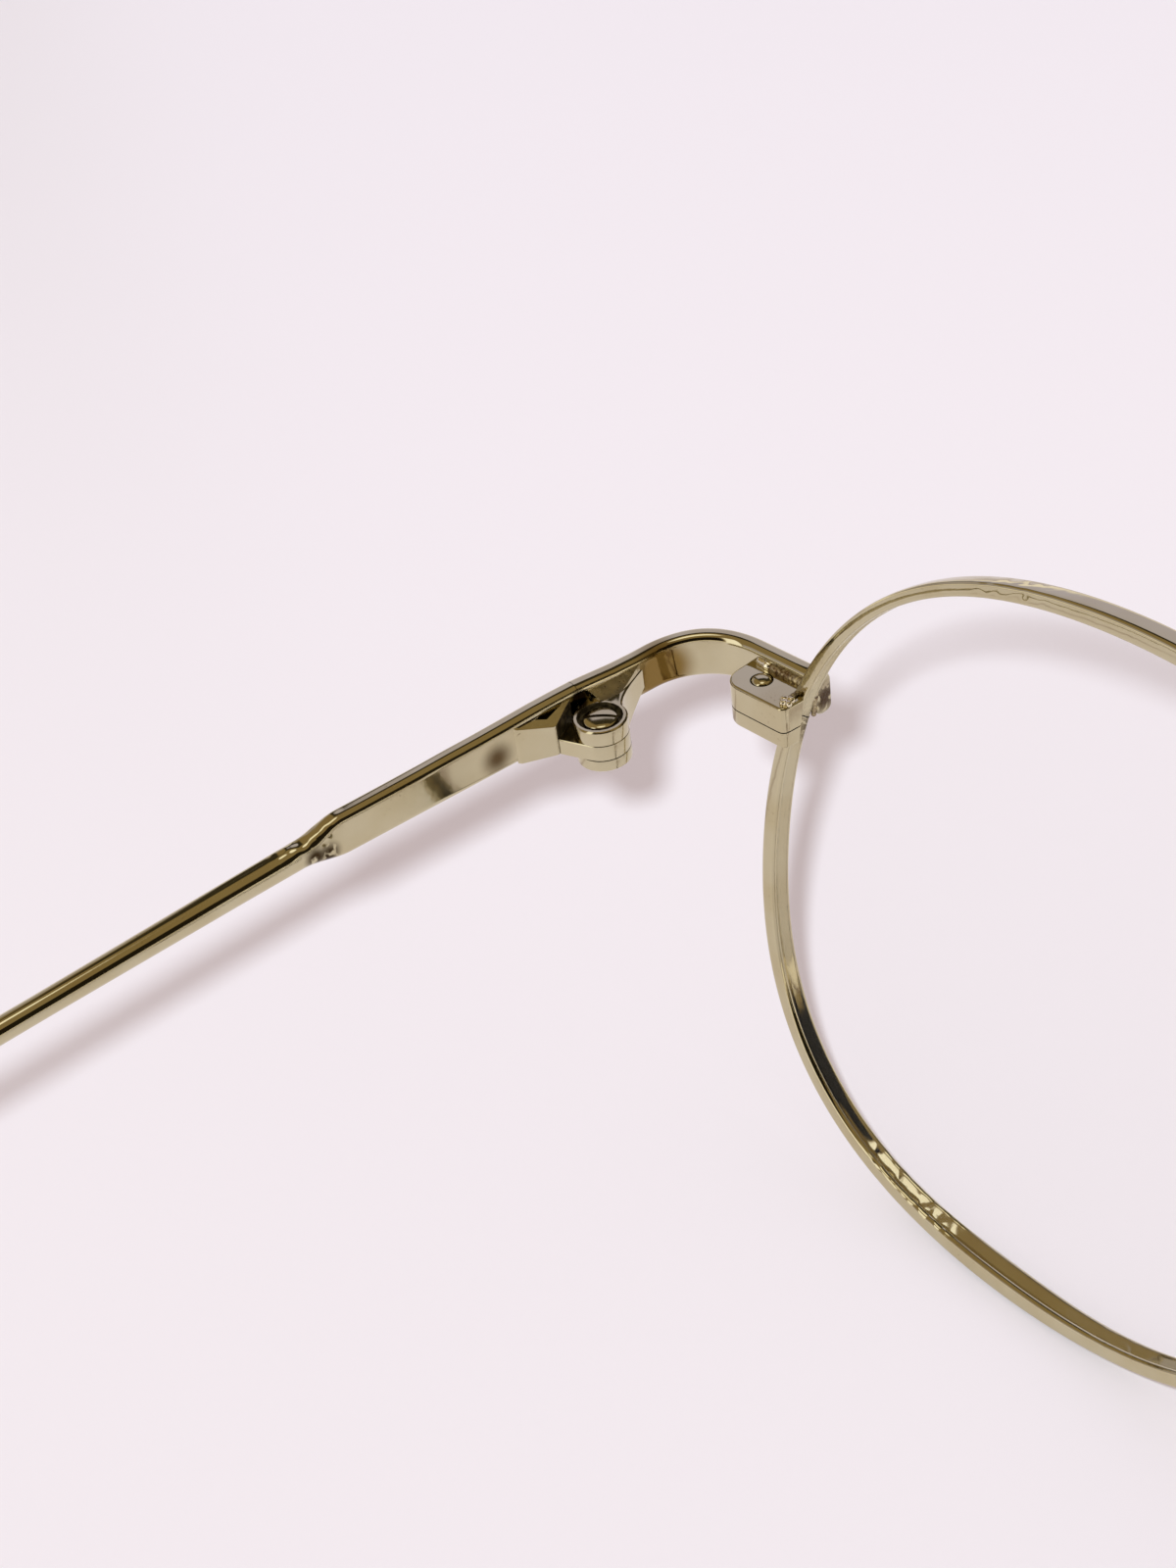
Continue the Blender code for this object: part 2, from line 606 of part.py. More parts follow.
def temple_leaf_mesh():
    """The leaf on the temple: a full-height block, stepped down to one knuckle between the two barrels."""
    foot, rear, rounding, corner = temple_leaf_plan()
    core = (foot + rear + corner) / 3
    block_top = STRIP_TOP - TEMPLE_LEAF_TOP_DROP
    block_plan = [tuple(p) for p in (foot, rear, rounding, corner)]
    block = prism(block_plan, STRIP_BOTTOM + BRAZE_GAP, block_top, BARREL_EDGE_CHAMFER)
    for vertex in block.verts:
        if vertex.co.z > STRIP_MIDDLE:
            vertex.co.z -= leaf_fall(vertex.co)
    start = corner + (core - corner) * 0.1
    touch = math.degrees(math.atan2(start.y, start.x) + math.acos(BARREL_RADIUS / start.length))
    knuckle_plan = [tuple(start)] + barrel_arc(touch, 388, 22)
    knuckle_plan += [tuple(foot + (core - foot) * 0.15), tuple(core)]
    top = -BARREL_TOP_HEIGHT - BARREL_GAP
    knuckle = prism(knuckle_plan, top - BARREL_MIDDLE_HEIGHT, top, BARREL_EDGE_CHAMFER / 2)
    leaf = combine(block, [knuckle], "UNION")
    pocket_plan = [tuple(core + (p - core) * 0.55) for p in (rounding, corner, foot)]
    pocket = prism(pocket_plan, block_top - TEMPLE_LEAF_POCKET_DEPTH, block_top + TEMPLE_LEAF_POCKET_DEPTH)
    for vertex in pocket.verts:
        vertex.co.z -= leaf_fall(vertex.co)
    narrow = HINGE_SCREW_SHANK_RADIUS + SCREW_CLEARANCE
    bore = turned([(0, -BARREL_STACK), (narrow, -BARREL_STACK), (narrow, BARREL_STACK), (0, BARREL_STACK)],
                  SCREW_SIDES)
    return combine(leaf, [pocket, bore], "DIFFERENCE")


def hinge_screw_mesh():
    """The hinge's screw, its head sunk in the counterbore."""
    return slotted_screw(HINGE_SCREW_HEAD_RADIUS, HINGE_SCREW_HEAD_HEIGHT, HINGE_SCREW_SHANK_RADIUS,
                         -HINGE_SCREW_SUNK, -BARREL_STACK + SCREW_CLEARANCE, HINGE_SLOT_ANGLE)


# Temple, in the hinge frame

def ear_drop():
    """Length of the straight run behind the ear bend that brings the tip level with the rim's foot."""
    rim = rim_in_hinge()
    foot = on_outline(RIM_OUTER_RADIUS, math.radians(-90))
    floor = rim.translation.z + foot.z * math.cos(PANTOSCOPIC_TILT)
    floor -= EYEWIRE_WIDTH / 2 * math.sin(PANTOSCOPIC_TILT)
    fall = STRIP_MIDDLE - floor - TIP_END_HEIGHT / 2 - EAR_BEND_RADIUS * (1 - math.cos(EAR_BEND))
    return fall / math.sin(EAR_BEND)


def temple_point(distance):
    """The temple's centre line at a distance from the butt joint, as a point."""
    x = HINGE_SETOFF + STRIP_THICKNESS / 2
    run = min(distance, TEMPLE_TO_BEND)
    drop = 0.0
    if distance > TEMPLE_TO_BEND:
        angle = min((distance - TEMPLE_TO_BEND) / EAR_BEND_RADIUS, EAR_BEND)
        run += EAR_BEND_RADIUS * math.sin(angle)
        drop += EAR_BEND_RADIUS * (1 - math.cos(angle))
        rest = distance - TEMPLE_TO_BEND - EAR_BEND_RADIUS * EAR_BEND
        if rest > 0:
            run += rest * math.cos(EAR_BEND)
            drop += rest * math.sin(EAR_BEND)
    neck = TEMPLE_FLAT_LENGTH + TEMPLE_NECK_LENGTH
    inward = max(run - neck, 0) * math.tan(TEMPLE_TOE_IN)
    return Vector((x - inward, run, STRIP_MIDDLE - drop))


def ear_stations(first, last):
    """Distances along the temple from first to last, with the same steps round the ear bend for every piece."""
    bend = [TEMPLE_TO_BEND + EAR_BEND_RADIUS * EAR_BEND * i / EAR_BEND_STEPS for i in range(EAR_BEND_STEPS + 1)]
    return [first] + [d for d in bend if first < d < last] + [last]


def temple_end():
    """Distance along the temple of the round end's centre."""
    return TEMPLE_TO_BEND + EAR_BEND_RADIUS * EAR_BEND + ear_drop()


def temple_mesh():
    """A flat bar at the hinge, swaged down through a neck to a wire that runs into the tip."""
    flat = (STRIP_THICKNESS, STRIP_HEIGHT, STRIP_EDGE_RADIUS)
    neck = (TEMPLE_NECK_WIDTH, TEMPLE_NECK_HEIGHT, TEMPLE_NECK_WIDTH * 0.45)
    wire = (TEMPLE_WIRE_DIAMETER, TEMPLE_WIRE_DIAMETER, TEMPLE_WIRE_DIAMETER / 2)
    stations = [(BUTT_GAP / 2, flat), (TEMPLE_LEAF_LENGTH * 1.5, flat), (TEMPLE_FLAT_LENGTH, flat)]
    for step in range(1, 5):
        share = step / 4
        ease = share * share * (3 - 2 * share)
        size = tuple(a + (b - a) * ease for a, b in zip(flat, neck))
        stations.append((TEMPLE_FLAT_LENGTH + TEMPLE_NECK_LENGTH * share, size))
    taper_start = TEMPLE_FLAT_LENGTH + TEMPLE_NECK_LENGTH
    middle = tuple((a * 0.35 + b * 0.65) for a, b in zip(neck, wire))
    stations.append((taper_start + TEMPLE_TAPER_LENGTH * 0.35, middle))
    stations.append((taper_start + TEMPLE_TAPER_LENGTH, wire))
    core_end = temple_end() - TIP_SOLID_END
    tip_start = TEMPLE_TO_BEND - TIP_COVER
    stations += [(d, wire) for d in ear_stations(tip_start, core_end)]
    path = [temple_point(d) for d, _ in stations]
    sections = [rounded_section(*size) for _, size in stations]
    return loft(rings_along(path, sections, Vector((0, 0, 1))))


def tip_mesh():
    """A sleeve that widens to a rounded paddle, bored for the wire and closed at its end."""
    start = TEMPLE_TO_BEND - TIP_COVER
    end = temple_end()
    bore_end = end - TIP_SOLID_END + TIP_BORE_CLEARANCE * 2

    def size_at(distance):
        share = (distance - start) / (end - start)
        ease = share * share * (3 - 2 * share)
        width = TIP_FRONT_WIDTH + (TIP_END_WIDTH - TIP_FRONT_WIDTH) * ease
        height = TIP_FRONT_HEIGHT + (TIP_END_HEIGHT - TIP_FRONT_HEIGHT) * ease
        return width, height

    outside = ear_stations(start, end)
    path = [temple_point(d) for d in outside]
    sections = [rounded_section(*size_at(d), min(size_at(d)) * 0.45) for d in outside]
    cap_steps = 4
    forward = (path[-1] - path[-2]).normalized()
    for step in range(1, cap_steps + 1):
        angle = math.pi / 2 * step / cap_steps * 0.94
        shrink = math.cos(angle)
        path.append(temple_point(end) + forward * TIP_END_HEIGHT / 2 * math.sin(angle))
        width = TIP_END_WIDTH * (0.35 + 0.65 * shrink)
        height = TIP_END_HEIGHT * shrink
        sections.append(rounded_section(width, height, min(width, height) * 0.45))
    sleeve = loft(rings_along(path, sections, Vector((0, 0, 1))))
    inside = ear_stations(start - TIP_SOLID_END, bore_end)
    bore_path = [temple_point(d) for d in inside]
    bore_size = TEMPLE_WIRE_DIAMETER + 2 * TIP_BORE_CLEARANCE
    bore_section = circle_section(bore_size / math.cos(math.pi / 8))
    bore = loft(rings_along(bore_path, [bore_section] * len(bore_path), Vector((0, 0, 1))))
    return combine(sleeve, [bore], "DIFFERENCE")


# Nose pads, in the rim frame

def pad_frame():
    """The pad's frame on its rocking axis: X along the axis, Y towards the nose, Z up the pad."""
    towards_nose = Vector((-math.cos(PAD_SPLAY), math.sin(PAD_SPLAY), 0))
    lean = Vector((-math.sin(PAD_LEAN), 0, math.cos(PAD_LEAN)))
    axis = towards_nose.cross(lean).normalized()
    up = axis.cross(towards_nose)
    turn = Matrix((axis, towards_nose, up)).transposed().to_4x4()
    return Matrix.Translation(PAD_PLACE) @ turn


def pad_arm_mesh():
    """A wire from the rear of the rim, looped back and inwards to the pad's box."""
    root = on_outline(RIM_MEAN_RADIUS, PAD_ARM_ANGLE)
    root.y = EYEWIRE_WIDTH / 2 + BRAZE_GAP
    frame = pad_frame()
    seat = frame @ Vector((0, -PAD_BOX_BACK - BRAZE_GAP, 0))
    before_seat = frame @ Vector((0, -PAD_BOX_BACK - 2 * PAD_ARM_DIAMETER, 0))
    leave = root + Vector((0, 2 * PAD_ARM_DIAMETER, 0))
    loop = (leave + before_seat) / 2 + Vector((PAD_ARM_DIAMETER, 0, 0))
    path = smooth_path([root, leave, loop, before_seat, seat], PAD_ARM_STEPS)
    section = circle_section(PAD_ARM_DIAMETER)
    return loft(rings_along(path, [section] * len(path), Vector((0, 0, 1))))


def across_x(profile, sides):
    """A solid of revolution about X."""
    return moved(turned(profile, sides), Matrix.Rotation(math.radians(90), 4, "Y"))


def pad_bore(radius):
    """A hole along the rocking axis."""
    reach = PAD_BOX_WIDTH
    return across_x([(0, -reach), (radius, -reach), (radius, reach), (0, reach)], 12)


def pad_box_mesh():
    """A small channel whose cheeks hold the pad's stem on a screw."""
    half = PAD_BOX_WIDTH / 2
    reach = PAD_BOX_LENGTH / 2
    box = cuboid((-half, -PAD_BOX_BACK, -reach), (half, PAD_BOX_FRONT, reach))
    cheek = half - PAD_BOX_WALL
    channel = cuboid((-cheek, -PAD_BOX_BACK + PAD_BOX_WEB, -2 * reach), (cheek, 2 * PAD_BOX_FRONT, 2 * reach))
    return combine(box, [channel, pad_bore(PAD_SCREW_RADIUS + SCREW_CLEARANCE)], "DIFFERENCE")


def pad_screw_mesh():
    """The pin screw through the box and the stem, its head outside one cheek."""
    half = PAD_BOX_WIDTH / 2
    head = half + SCREW_CLEARANCE
    profile = [(0, -half), (PAD_SCREW_RADIUS, -half), (PAD_SCREW_RADIUS, head), (PAD_SCREW_HEAD_RADIUS, head),
               (PAD_SCREW_HEAD_RADIUS * 0.8, head + PAD_SCREW_HEAD_HEIGHT), (0, head + PAD_SCREW_HEAD_HEIGHT)]
    return across_x(profile, 12)


def pad_mesh():
    """A soft drop-shaped pad, domed towards the nose, with the stem that the box holds."""
    sides = 24
    rings = []
    layers = ((0.0, 0.72), (0.18, 0.93), (0.45, 1.0), (0.75, 0.86), (0.93, 0.58), (1.0, 0.22))
    for depth, spread in layers:
        ring = []
        for i in range(sides):
            angle = 2 * math.pi * i / sides
            narrow = 1 - 0.16 * math.sin(angle)
            across = PAD_WIDTH / 2 * spread * narrow * math.cos(angle)
            up = PAD_LENGTH / 2 * spread * math.sin(angle)
            ring.append(Vector((across, PAD_STANDOFF + PAD_THICKNESS * depth, up)))
        rings.append(ring)
    pad = loft(rings)
    half = PAD_BOX_WIDTH / 2 - PAD_BOX_WALL - PAD_STEM_CLEARANCE
    reach = PAD_STEM_LENGTH / 2
    stem = cuboid((-half, -PAD_STEM_BACK, -reach), (half, PAD_STANDOFF + PAD_THICKNESS * 0.3, reach))
    pad = combine(pad, [stem], "UNION")
    return combine(pad, [pad_bore(PAD_SCREW_RADIUS + SCREW_CLEARANCE)], "DIFFERENCE")


# Assembly

def add_empty(name, location, parent=None):
    """An empty that marks a joint's axis or carries other pieces."""
    empty = bpy.data.objects.new(name, None)
    empty.empty_display_size = 0.004
    bpy.context.scene.collection.objects.link(empty)
    empty.parent = parent
    empty.location = location
    return empty


def add_piece(name, mesh, material, parent, offset):
    """Makes a named piece from a mesh in model space, its origin on its parent's."""
    mesh.transform(Matrix.Translation(-offset))
    bmesh.ops.triangulate(mesh, faces=[f for f in mesh.faces if len(f.verts) > 4])
    piece = as_object(mesh, name)
    piece.data.materials.append(material)
    piece.data.shade_smooth()
    piece.data.set_sharp_from_angle(angle=math.radians(32))
    piece.parent = parent
    return piece


def mirrored(mesh):
    """A mirrored copy for the wearer's right side."""
    return moved(mesh.copy(), MIRROR)


def build():
    """Builds the pair of glasses."""
    clear_scene()
    gold = make_material("champagne_gold", (0.62, 0.55, 0.36), 1.0, 0.16)
    steel = make_material("screw_steel", (0.60, 0.56, 0.45), 1.0, 0.22)
    glass = make_material("lens_glass", (0.98, 0.99, 0.99), 0.0, 0.02, 1.0)
    silicone = make_material("pad_silicone", (0.86, 0.86, 0.82), 0.0, 0.30, 0.5)
    plastic = make_material("tip_plastic", (0.16, 0.08, 0.035), 0.0, 0.22)

    root = add_empty("eyeglasses", Vector((0, 0, 0)))
    rim = rim_frame()
    hinge = hinge_frame()
    pad = rim @ pad_frame()
    axis_height = Vector((0, 0, -BARREL_STACK / 2))
    parents = {}
    offsets = {"front": Vector((0, 0, 0)), "temple": hinge.translation + axis_height, "pad": pad.translation}
    for side, sign in (("left", 1), ("right", -1)):
        parents["front", side] = root
        for carrier in ("temple", "pad"):
            place = offsets[carrier] * 1
            place.x *= sign
            parents[carrier, side] = add_empty(f"{carrier}_{side}_axis", place, root)

    pieces = (
        ("rim", eyewire_mesh(), rim, gold, "front"),
        ("lens", lens_mesh(), rim, glass, "front"),
        ("end_piece", strip_mesh(), hinge, gold, "front"),
        ("closing_block_upper", block_upper_mesh(), hinge, gold, "front"),
        ("closing_block_lower", block_lower_mesh(), hinge, gold, "front"),
        ("closing_block_screw", block_screw_mesh(), hinge, steel, "front"),
        ("hinge_front_leaf", front_leaf_mesh(), hinge, gold, "front"),
        ("hinge_screw", hinge_screw_mesh(), hinge, steel, "front"),
        ("hinge_temple_leaf", temple_leaf_mesh(), hinge, gold, "temple"),
        ("temple", temple_mesh(), hinge, gold, "temple"),
        ("temple_tip", tip_mesh(), hinge, plastic, "temple"),
        ("pad_arm", pad_arm_mesh(), rim, gold, "front"),
        ("pad_box", pad_box_mesh(), pad, gold, "front"),
        ("pad_screw", pad_screw_mesh(), pad, steel, "front"),
        ("nose_pad", pad_mesh(), pad, silicone, "pad"),
    )
    for name, mesh, frame, material, carrier in pieces:
        mesh.transform(frame)
        other = mirrored(mesh)
        offset = offsets[carrier]
        add_piece(f"{name}_left", mesh, material, parents[carrier, "left"], offset)
        other_offset = Vector((-offset.x, offset.y, offset.z))
        add_piece(f"{name}_right", other, material, parents[carrier, "right"], other_offset)
    add_piece("bridge", bridge_mesh(), gold, root, offsets["front"])
    stand(root)


def stand(root):
    """Moves everything so that it stands on the plane at zero, centred over the origin."""
    bpy.context.view_layer.update()
    corners = []
    for thing in bpy.data.objects:
        if thing.type == "MESH":
            corners += [thing.matrix_world @ vertex.co for vertex in thing.data.vertices]
    low = min(corner.z for corner in corners)
    front = min(corner.y for corner in corners)
    rear = max(corner.y for corner in corners)
    root.location = (0, -(front + rear) / 2, -low)
    bpy.context.view_layer.update()


build()
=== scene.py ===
import json
import math

import bpy
from mathutils import Matrix, Vector

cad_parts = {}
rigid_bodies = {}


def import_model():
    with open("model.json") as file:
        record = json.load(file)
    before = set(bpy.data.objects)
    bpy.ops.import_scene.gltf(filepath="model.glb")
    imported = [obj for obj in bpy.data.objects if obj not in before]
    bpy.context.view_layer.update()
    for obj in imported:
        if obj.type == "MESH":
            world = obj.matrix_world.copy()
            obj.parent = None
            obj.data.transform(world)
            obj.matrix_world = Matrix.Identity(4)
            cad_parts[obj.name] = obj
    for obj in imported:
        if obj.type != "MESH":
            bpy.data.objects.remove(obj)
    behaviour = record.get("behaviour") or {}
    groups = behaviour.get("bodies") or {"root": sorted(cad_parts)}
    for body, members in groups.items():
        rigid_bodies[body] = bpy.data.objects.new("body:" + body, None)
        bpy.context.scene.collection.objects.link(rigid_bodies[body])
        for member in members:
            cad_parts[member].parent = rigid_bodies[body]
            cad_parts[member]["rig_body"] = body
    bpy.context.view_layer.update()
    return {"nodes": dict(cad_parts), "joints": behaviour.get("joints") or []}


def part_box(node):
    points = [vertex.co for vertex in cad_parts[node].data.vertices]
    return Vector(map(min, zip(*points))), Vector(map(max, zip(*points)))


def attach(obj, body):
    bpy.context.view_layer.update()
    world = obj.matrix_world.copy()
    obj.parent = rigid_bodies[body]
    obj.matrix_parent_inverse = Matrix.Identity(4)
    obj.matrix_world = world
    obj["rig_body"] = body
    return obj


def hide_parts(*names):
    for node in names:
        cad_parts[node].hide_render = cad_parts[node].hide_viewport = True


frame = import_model()


# The eyewires. Each is drawn from grooved wire in pale gold plate, bent into a ring round the lens's edge
# and left open at the closing block, which draws its two ends together.

class Value:
    """A value or colour in a node tree. An expression on it adds the nodes that work it out."""

    def __init__(self, nodes, socket):
        self.nodes = nodes
        self.socket = socket

    def output(self, name):
        """Another output of the same node."""
        return Value(self.nodes, self.socket.node.outputs[name])

    def maths(self, operation, first, second):
        return self.nodes.node("ShaderNodeMath", 0, {"operation": operation}, {0: first, 1: second})

    def __add__(self, other):
        return self.maths("ADD", self, other)

    def __radd__(self, other):
        return self.maths("ADD", other, self)

    def __rsub__(self, other):
        return self.maths("SUBTRACT", other, self)

    def __mul__(self, other):
        return self.maths("MULTIPLY", self, other)

    def __truediv__(self, other):
        return self.maths("DIVIDE", self, other)

    def __abs__(self):
        return self.maths("ABSOLUTE", self, 0.0)

    def at_least(self, least):
        return self.maths("MAXIMUM", self, least)

    def above(self, low, high):
        """Rises smoothly from 0 at low to 1 at high."""
        return self.nodes.node("ShaderNodeMapRange", "Result", {"interpolation_type": "SMOOTHSTEP"},
                               {"Value": self, "From Min": low, "From Max": high})


class Nodes:
    """The nodes of a material, a lamp or the room."""

    def __init__(self, tree):
        self.tree = tree

    def feed(self, socket, value):
        """Links a value to a socket, or sets a number, a place or a colour there."""
        if isinstance(value, Value):
            self.tree.links.new(value.socket, socket)
        elif socket.type == "RGBA":
            socket.default_value = (*value, 1.0)
        else:
            socket.default_value = value

    def node(self, kind, output=0, settings=None, sockets=None):
        """Adds a node with its settings, then feeds its sockets, each by its name or number."""
        node = self.tree.nodes.new(kind)
        for name, value in (settings or {}).items():
            setattr(node, name, value)
        for key, value in (sockets or {}).items():
            self.feed(node.inputs[key], value)
        return Value(self, node.outputs[output])

    def blend(self, share, first, second):
        """A colour between two others. Each is a Value or three numbers."""
        return self.node("ShaderNodeMix", 2, {"data_type": "RGBA"}, {0: share, 6: first, 7: second})


class Finish(Nodes):
    """A material made of one Principled shader and what varies over its surface."""

    def __init__(self, name, **fixed):
        self.material = bpy.data.materials.new(name)
        self.material.use_nodes = True
        super().__init__(self.material.node_tree)
        self.use(**fixed)

    def use(self, **values):
        """Feeds the shader's sockets, named with _ for each space, and gives the material."""
        shader = self.tree.nodes["Principled BSDF"]
        for name, value in values.items():
            self.feed(shader.inputs[name.replace("_", " ")], value)
        return self.material

    def place(self):
        return self.node("ShaderNodeTexCoord", "Object")

    def noise(self, scale, detail=2.0):
        return self.node("ShaderNodeTexNoise", "Fac", None,
                         {"Vector": self.place(), "Scale": scale, "Detail": detail})

    def near(self, centre, inner, outer):
        """1 within some millimetres of a place, on both sides of the glasses, falling to 0 further out."""
        across = self.node("ShaderNodeSeparateXYZ", 0, None, {"Vector": self.place()})
        folded = self.node("ShaderNodeCombineXYZ", 0, None,
                           {"X": abs(across), "Y": across.output("Y"), "Z": across.output("Z")})
        gap = self.node("ShaderNodeVectorMath", "Value", {"operation": "DISTANCE"}, {0: folded, 1: centre})
        return 1 - gap.above(inner * MILLIMETRE, outer * MILLIMETRE)

    def bump(self, height, distance):
        return self.node("ShaderNodeBump", "Normal", None,
                         {"Height": height, "Distance": distance, "Strength": 1.0})


MILLIMETRE = 0.001
PALE_GOLD = (0.56, 0.505, 0.33)
CLOUDED = (0.93, 0.90, 0.84)
TARNISHED = (0.12, 0.065, 0.025)


class GoldPlate(Finish):
    """Polished pale gold plate with clouds, specks of tarnish and a ripple of a height in millimetres."""

    def __init__(self, name, colour=PALE_GOLD, gloss=0.06, tarnish=0.25, ripple=0.003):
        super().__init__(name, Metallic=1.0)
        clouds = self.noise(260.0, detail=3.0)
        grains = self.noise(5200.0, detail=1.0)
        specks = grains.above(0.66, 0.72) * clouds.above(0.52, 0.66) * tarnish
        warm = tuple(part * share for part, share in zip(colour, CLOUDED))
        self.tone = self.blend(clouds.above(0.35, 0.70), colour, warm)
        self.tone = self.blend(specks, self.tone, TARNISHED)
        self.rough = gloss + clouds.above(0.45, 0.75) * 0.05 + specks * 0.35
        self.wave = self.noise(900.0) * ripple

    def stain_and_painted_light(self, centre, inner, outer, colour, speckle=0):
        """Tints a spot whose size is in millimetres, in flecks where speckle gives how fine they are. Used
        for real tarnish and flux, and also for painted shade and painted reflections.
        """
        share = self.near(centre, inner, outer)
        if speckle:
            share = share * self.noise(speckle, detail=5.0).above(0.38, 0.46)
            self.rough = self.rough + share * 0.15
        self.tone = self.blend(share, self.tone, colour)

    def hammer(self, centre, inner, outer, depth):
        """Dents a spot whose size is in millimetres."""
        self.wave = self.wave + self.near(centre, inner, outer) * self.noise(1500.0, detail=0.0) * depth

    def plated(self):
        return self.use(Base_Color=self.tone, Roughness=self.rough, Normal=self.bump(self.wave, MILLIMETRE))


hinge_axis = Vector(frame["joints"][0]["pos_m"])
hinge_top = Vector((hinge_axis.x, hinge_axis.y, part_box("hinge_front_leaf_left")[1].z))


def by_hinge(outboard, rear, up):
    """A place in the glasses' frame, given in millimetres from the middle of the left hinge's top."""
    return hinge_top + Vector((outboard, rear, up)) * MILLIMETRE


SCORCHED = (0.060, 0.032, 0.010)

rim_plate = GoldPlate("hand_polished_pale_gold", ripple=0.010)
rim_plate.stain_and_painted_light(by_hinge(-7.0, -10.6, -3.0), inner=0.4, outer=1.7, colour=SCORCHED, speckle=2400)
rim_plate.hammer(by_hinge(-19.4, -5.5, -30.1), inner=2.4, outer=4.6, depth=0.10)
rim_plate.hammer(by_hinge(-35.5, -6.7, -30.5), inner=0.6, outer=2.2, depth=0.07)
rim_plate.hammer(by_hinge(-20.2, -13.4, 11.5), inner=1.0, outer=3.6, depth=0.05)

WIRE_DEPTH = 0.00109
WIRE_WIDTH = 0.00153
WIRE_CORNERS = 0.42
WIRE_POINTS = 40
GROOVE_DEPTH = 0.00050
GROOVE_HALF_WIDTH = 0.00045
RIM_INNER_RADIUS = 0.0221
RIM_SQUARENESS = 0.00057
RIM_STEPS = 240
RIM_SPLIT_ANGLE = math.radians(20.25)
RIM_SPLIT_GAP = 0.00010
RIM_TILT = math.radians(10.6)
RIM_WRAP = math.radians(4.4)
FILED_BEARING = 45
FILED_SPREAD = 26
FILED_SHARE = 0.28
PRESSED_BEARING = -88
PRESSED_SPREAD = 18
PRESSED_SHARE = 0.20
PRESSED_ANCHOR = WIRE_DEPTH + 0.00030
MIRROR = Matrix.Scale(-1, 4, Vector((1, 0, 0)))

rim_low, rim_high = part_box("rim_left")
rim_place = (Matrix.Translation((rim_low + rim_high) / 2) @ Matrix.Rotation(RIM_WRAP, 4, "Z")
             @ Matrix.Rotation(RIM_TILT, 4, "X"))


def deselect():
    bpy.ops.object.select_all(action="DESELECT")


def outwards(piece):
    """Turns all faces of the piece being edited outwards, and ends the edit."""
    bpy.ops.mesh.select_all(action="SELECT")
    bpy.ops.mesh.normals_make_consistent(inside=False)
    bpy.ops.object.mode_set(mode="OBJECT")
    return piece


def smooth(piece, sharpest):
    """Shades a piece smoothly, except over edges that turn by more than an angle in degrees."""
    piece.data.shade_smooth()
    piece.data.set_sharp_from_angle(angle=math.radians(sharpest))


def dress(piece, *finishes):
    """Gives a piece these materials and no others."""
    piece.data.materials.clear()
    for finish in finishes:
        piece.data.materials.append(finish)


def both_sides(piece, place, *metals):
    """Sets the left piece in its place and a mirrored copy on the right, both in the same metals."""
    twin = bpy.data.objects.new(f"{piece.name}_right", piece.data.copy())
    bpy.context.scene.collection.objects.link(twin)
    piece.name = f"{piece.name}_left"
    for thing, matrix in ((piece, place), (twin, MIRROR @ place)):
        thing.data.transform(matrix)
        if thing == twin:
            thing.data.flip_normals()
        thing.data.update()
        kinds = [min(face.material_index, len(metals) - 1) for face in thing.data.polygons]
        dress(thing, *metals)
        thing.data.polygons.foreach_set("material_index", kinds)
    return piece, twin


def settle(piece, node, place, *metals):
    """Puts a piece and its mirrored copy instead of a CAD node on each side."""
    for side, thing in zip(("left", "right"), both_sides(piece, place, *metals)):
        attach(thing, frame["nodes"][f"{node}_{side}"]["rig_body"])
        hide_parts(f"{node}_{side}")


deselect()
bpy.ops.mesh.primitive_circle_add(vertices=WIRE_POINTS, radius=1.0, fill_type="NGON")
eyewire = bpy.context.object
eyewire.name = "eyewire"
for vertex in eyewire.data.vertices:
    angle = math.atan2(vertex.co.y, vertex.co.x)
    c = math.cos(angle)
    s = math.sin(angle)
    across = math.copysign(abs(s) ** WIRE_CORNERS, s) * WIRE_WIDTH / 2
    out = math.copysign(abs(c) ** WIRE_CORNERS, c) * WIRE_DEPTH / 2
    radius = RIM_INNER_RADIUS + WIRE_DEPTH / 2 + out
    if c < 0 and abs(across) < GROOVE_HALF_WIDTH:
        radius += GROOVE_DEPTH * (1 - abs(across) / GROOVE_HALF_WIDTH)
    vertex.co = (radius * math.cos(RIM_SPLIT_ANGLE), across, radius * math.sin(RIM_SPLIT_ANGLE))
bpy.ops.object.mode_set(mode="EDIT")
bpy.ops.mesh.select_all(action="SELECT")
sweep = 2 * math.pi - RIM_SPLIT_GAP / RIM_INNER_RADIUS
bpy.ops.mesh.spin(steps=RIM_STEPS, angle=-sweep, center=(0, 0, 0), axis=(0, 1, 0))
outwards(eyewire)
for vertex in eyewire.data.vertices:
    radius = math.hypot(vertex.co.x, vertex.co.z)
    growth = 1 - RIM_SQUARENESS * math.cos(4 * math.atan2(vertex.co.z, vertex.co.x)) / radius
    vertex.co.x *= growth
    vertex.co.z *= growth
    bearing = math.degrees(math.atan2(vertex.co.z, vertex.co.x))
    filed = FILED_SHARE * math.exp(-((bearing - FILED_BEARING) / FILED_SPREAD) ** 2)
    pressed = PRESSED_SHARE * math.exp(-((bearing - PRESSED_BEARING) / PRESSED_SPREAD) ** 2)
    size = 1 - filed + pressed
    anchor = WIRE_DEPTH / 2 if size < 1 else PRESSED_ANCHOR
    middle = (RIM_INNER_RADIUS + anchor + (growth - 1) * radius) / (growth * radius)
    share = size + (1 - size) * middle
    vertex.co = (vertex.co.x * share, vertex.co.y * size, vertex.co.z * share)
smooth(eyewire, 60)
settle(eyewire, "rim", rim_place, rim_plate.plated())


# The lenses. Each is a clear moulded disc, ground with a bevelled edge that snaps into the groove of its
# eyewire when the closing block is screwed together.

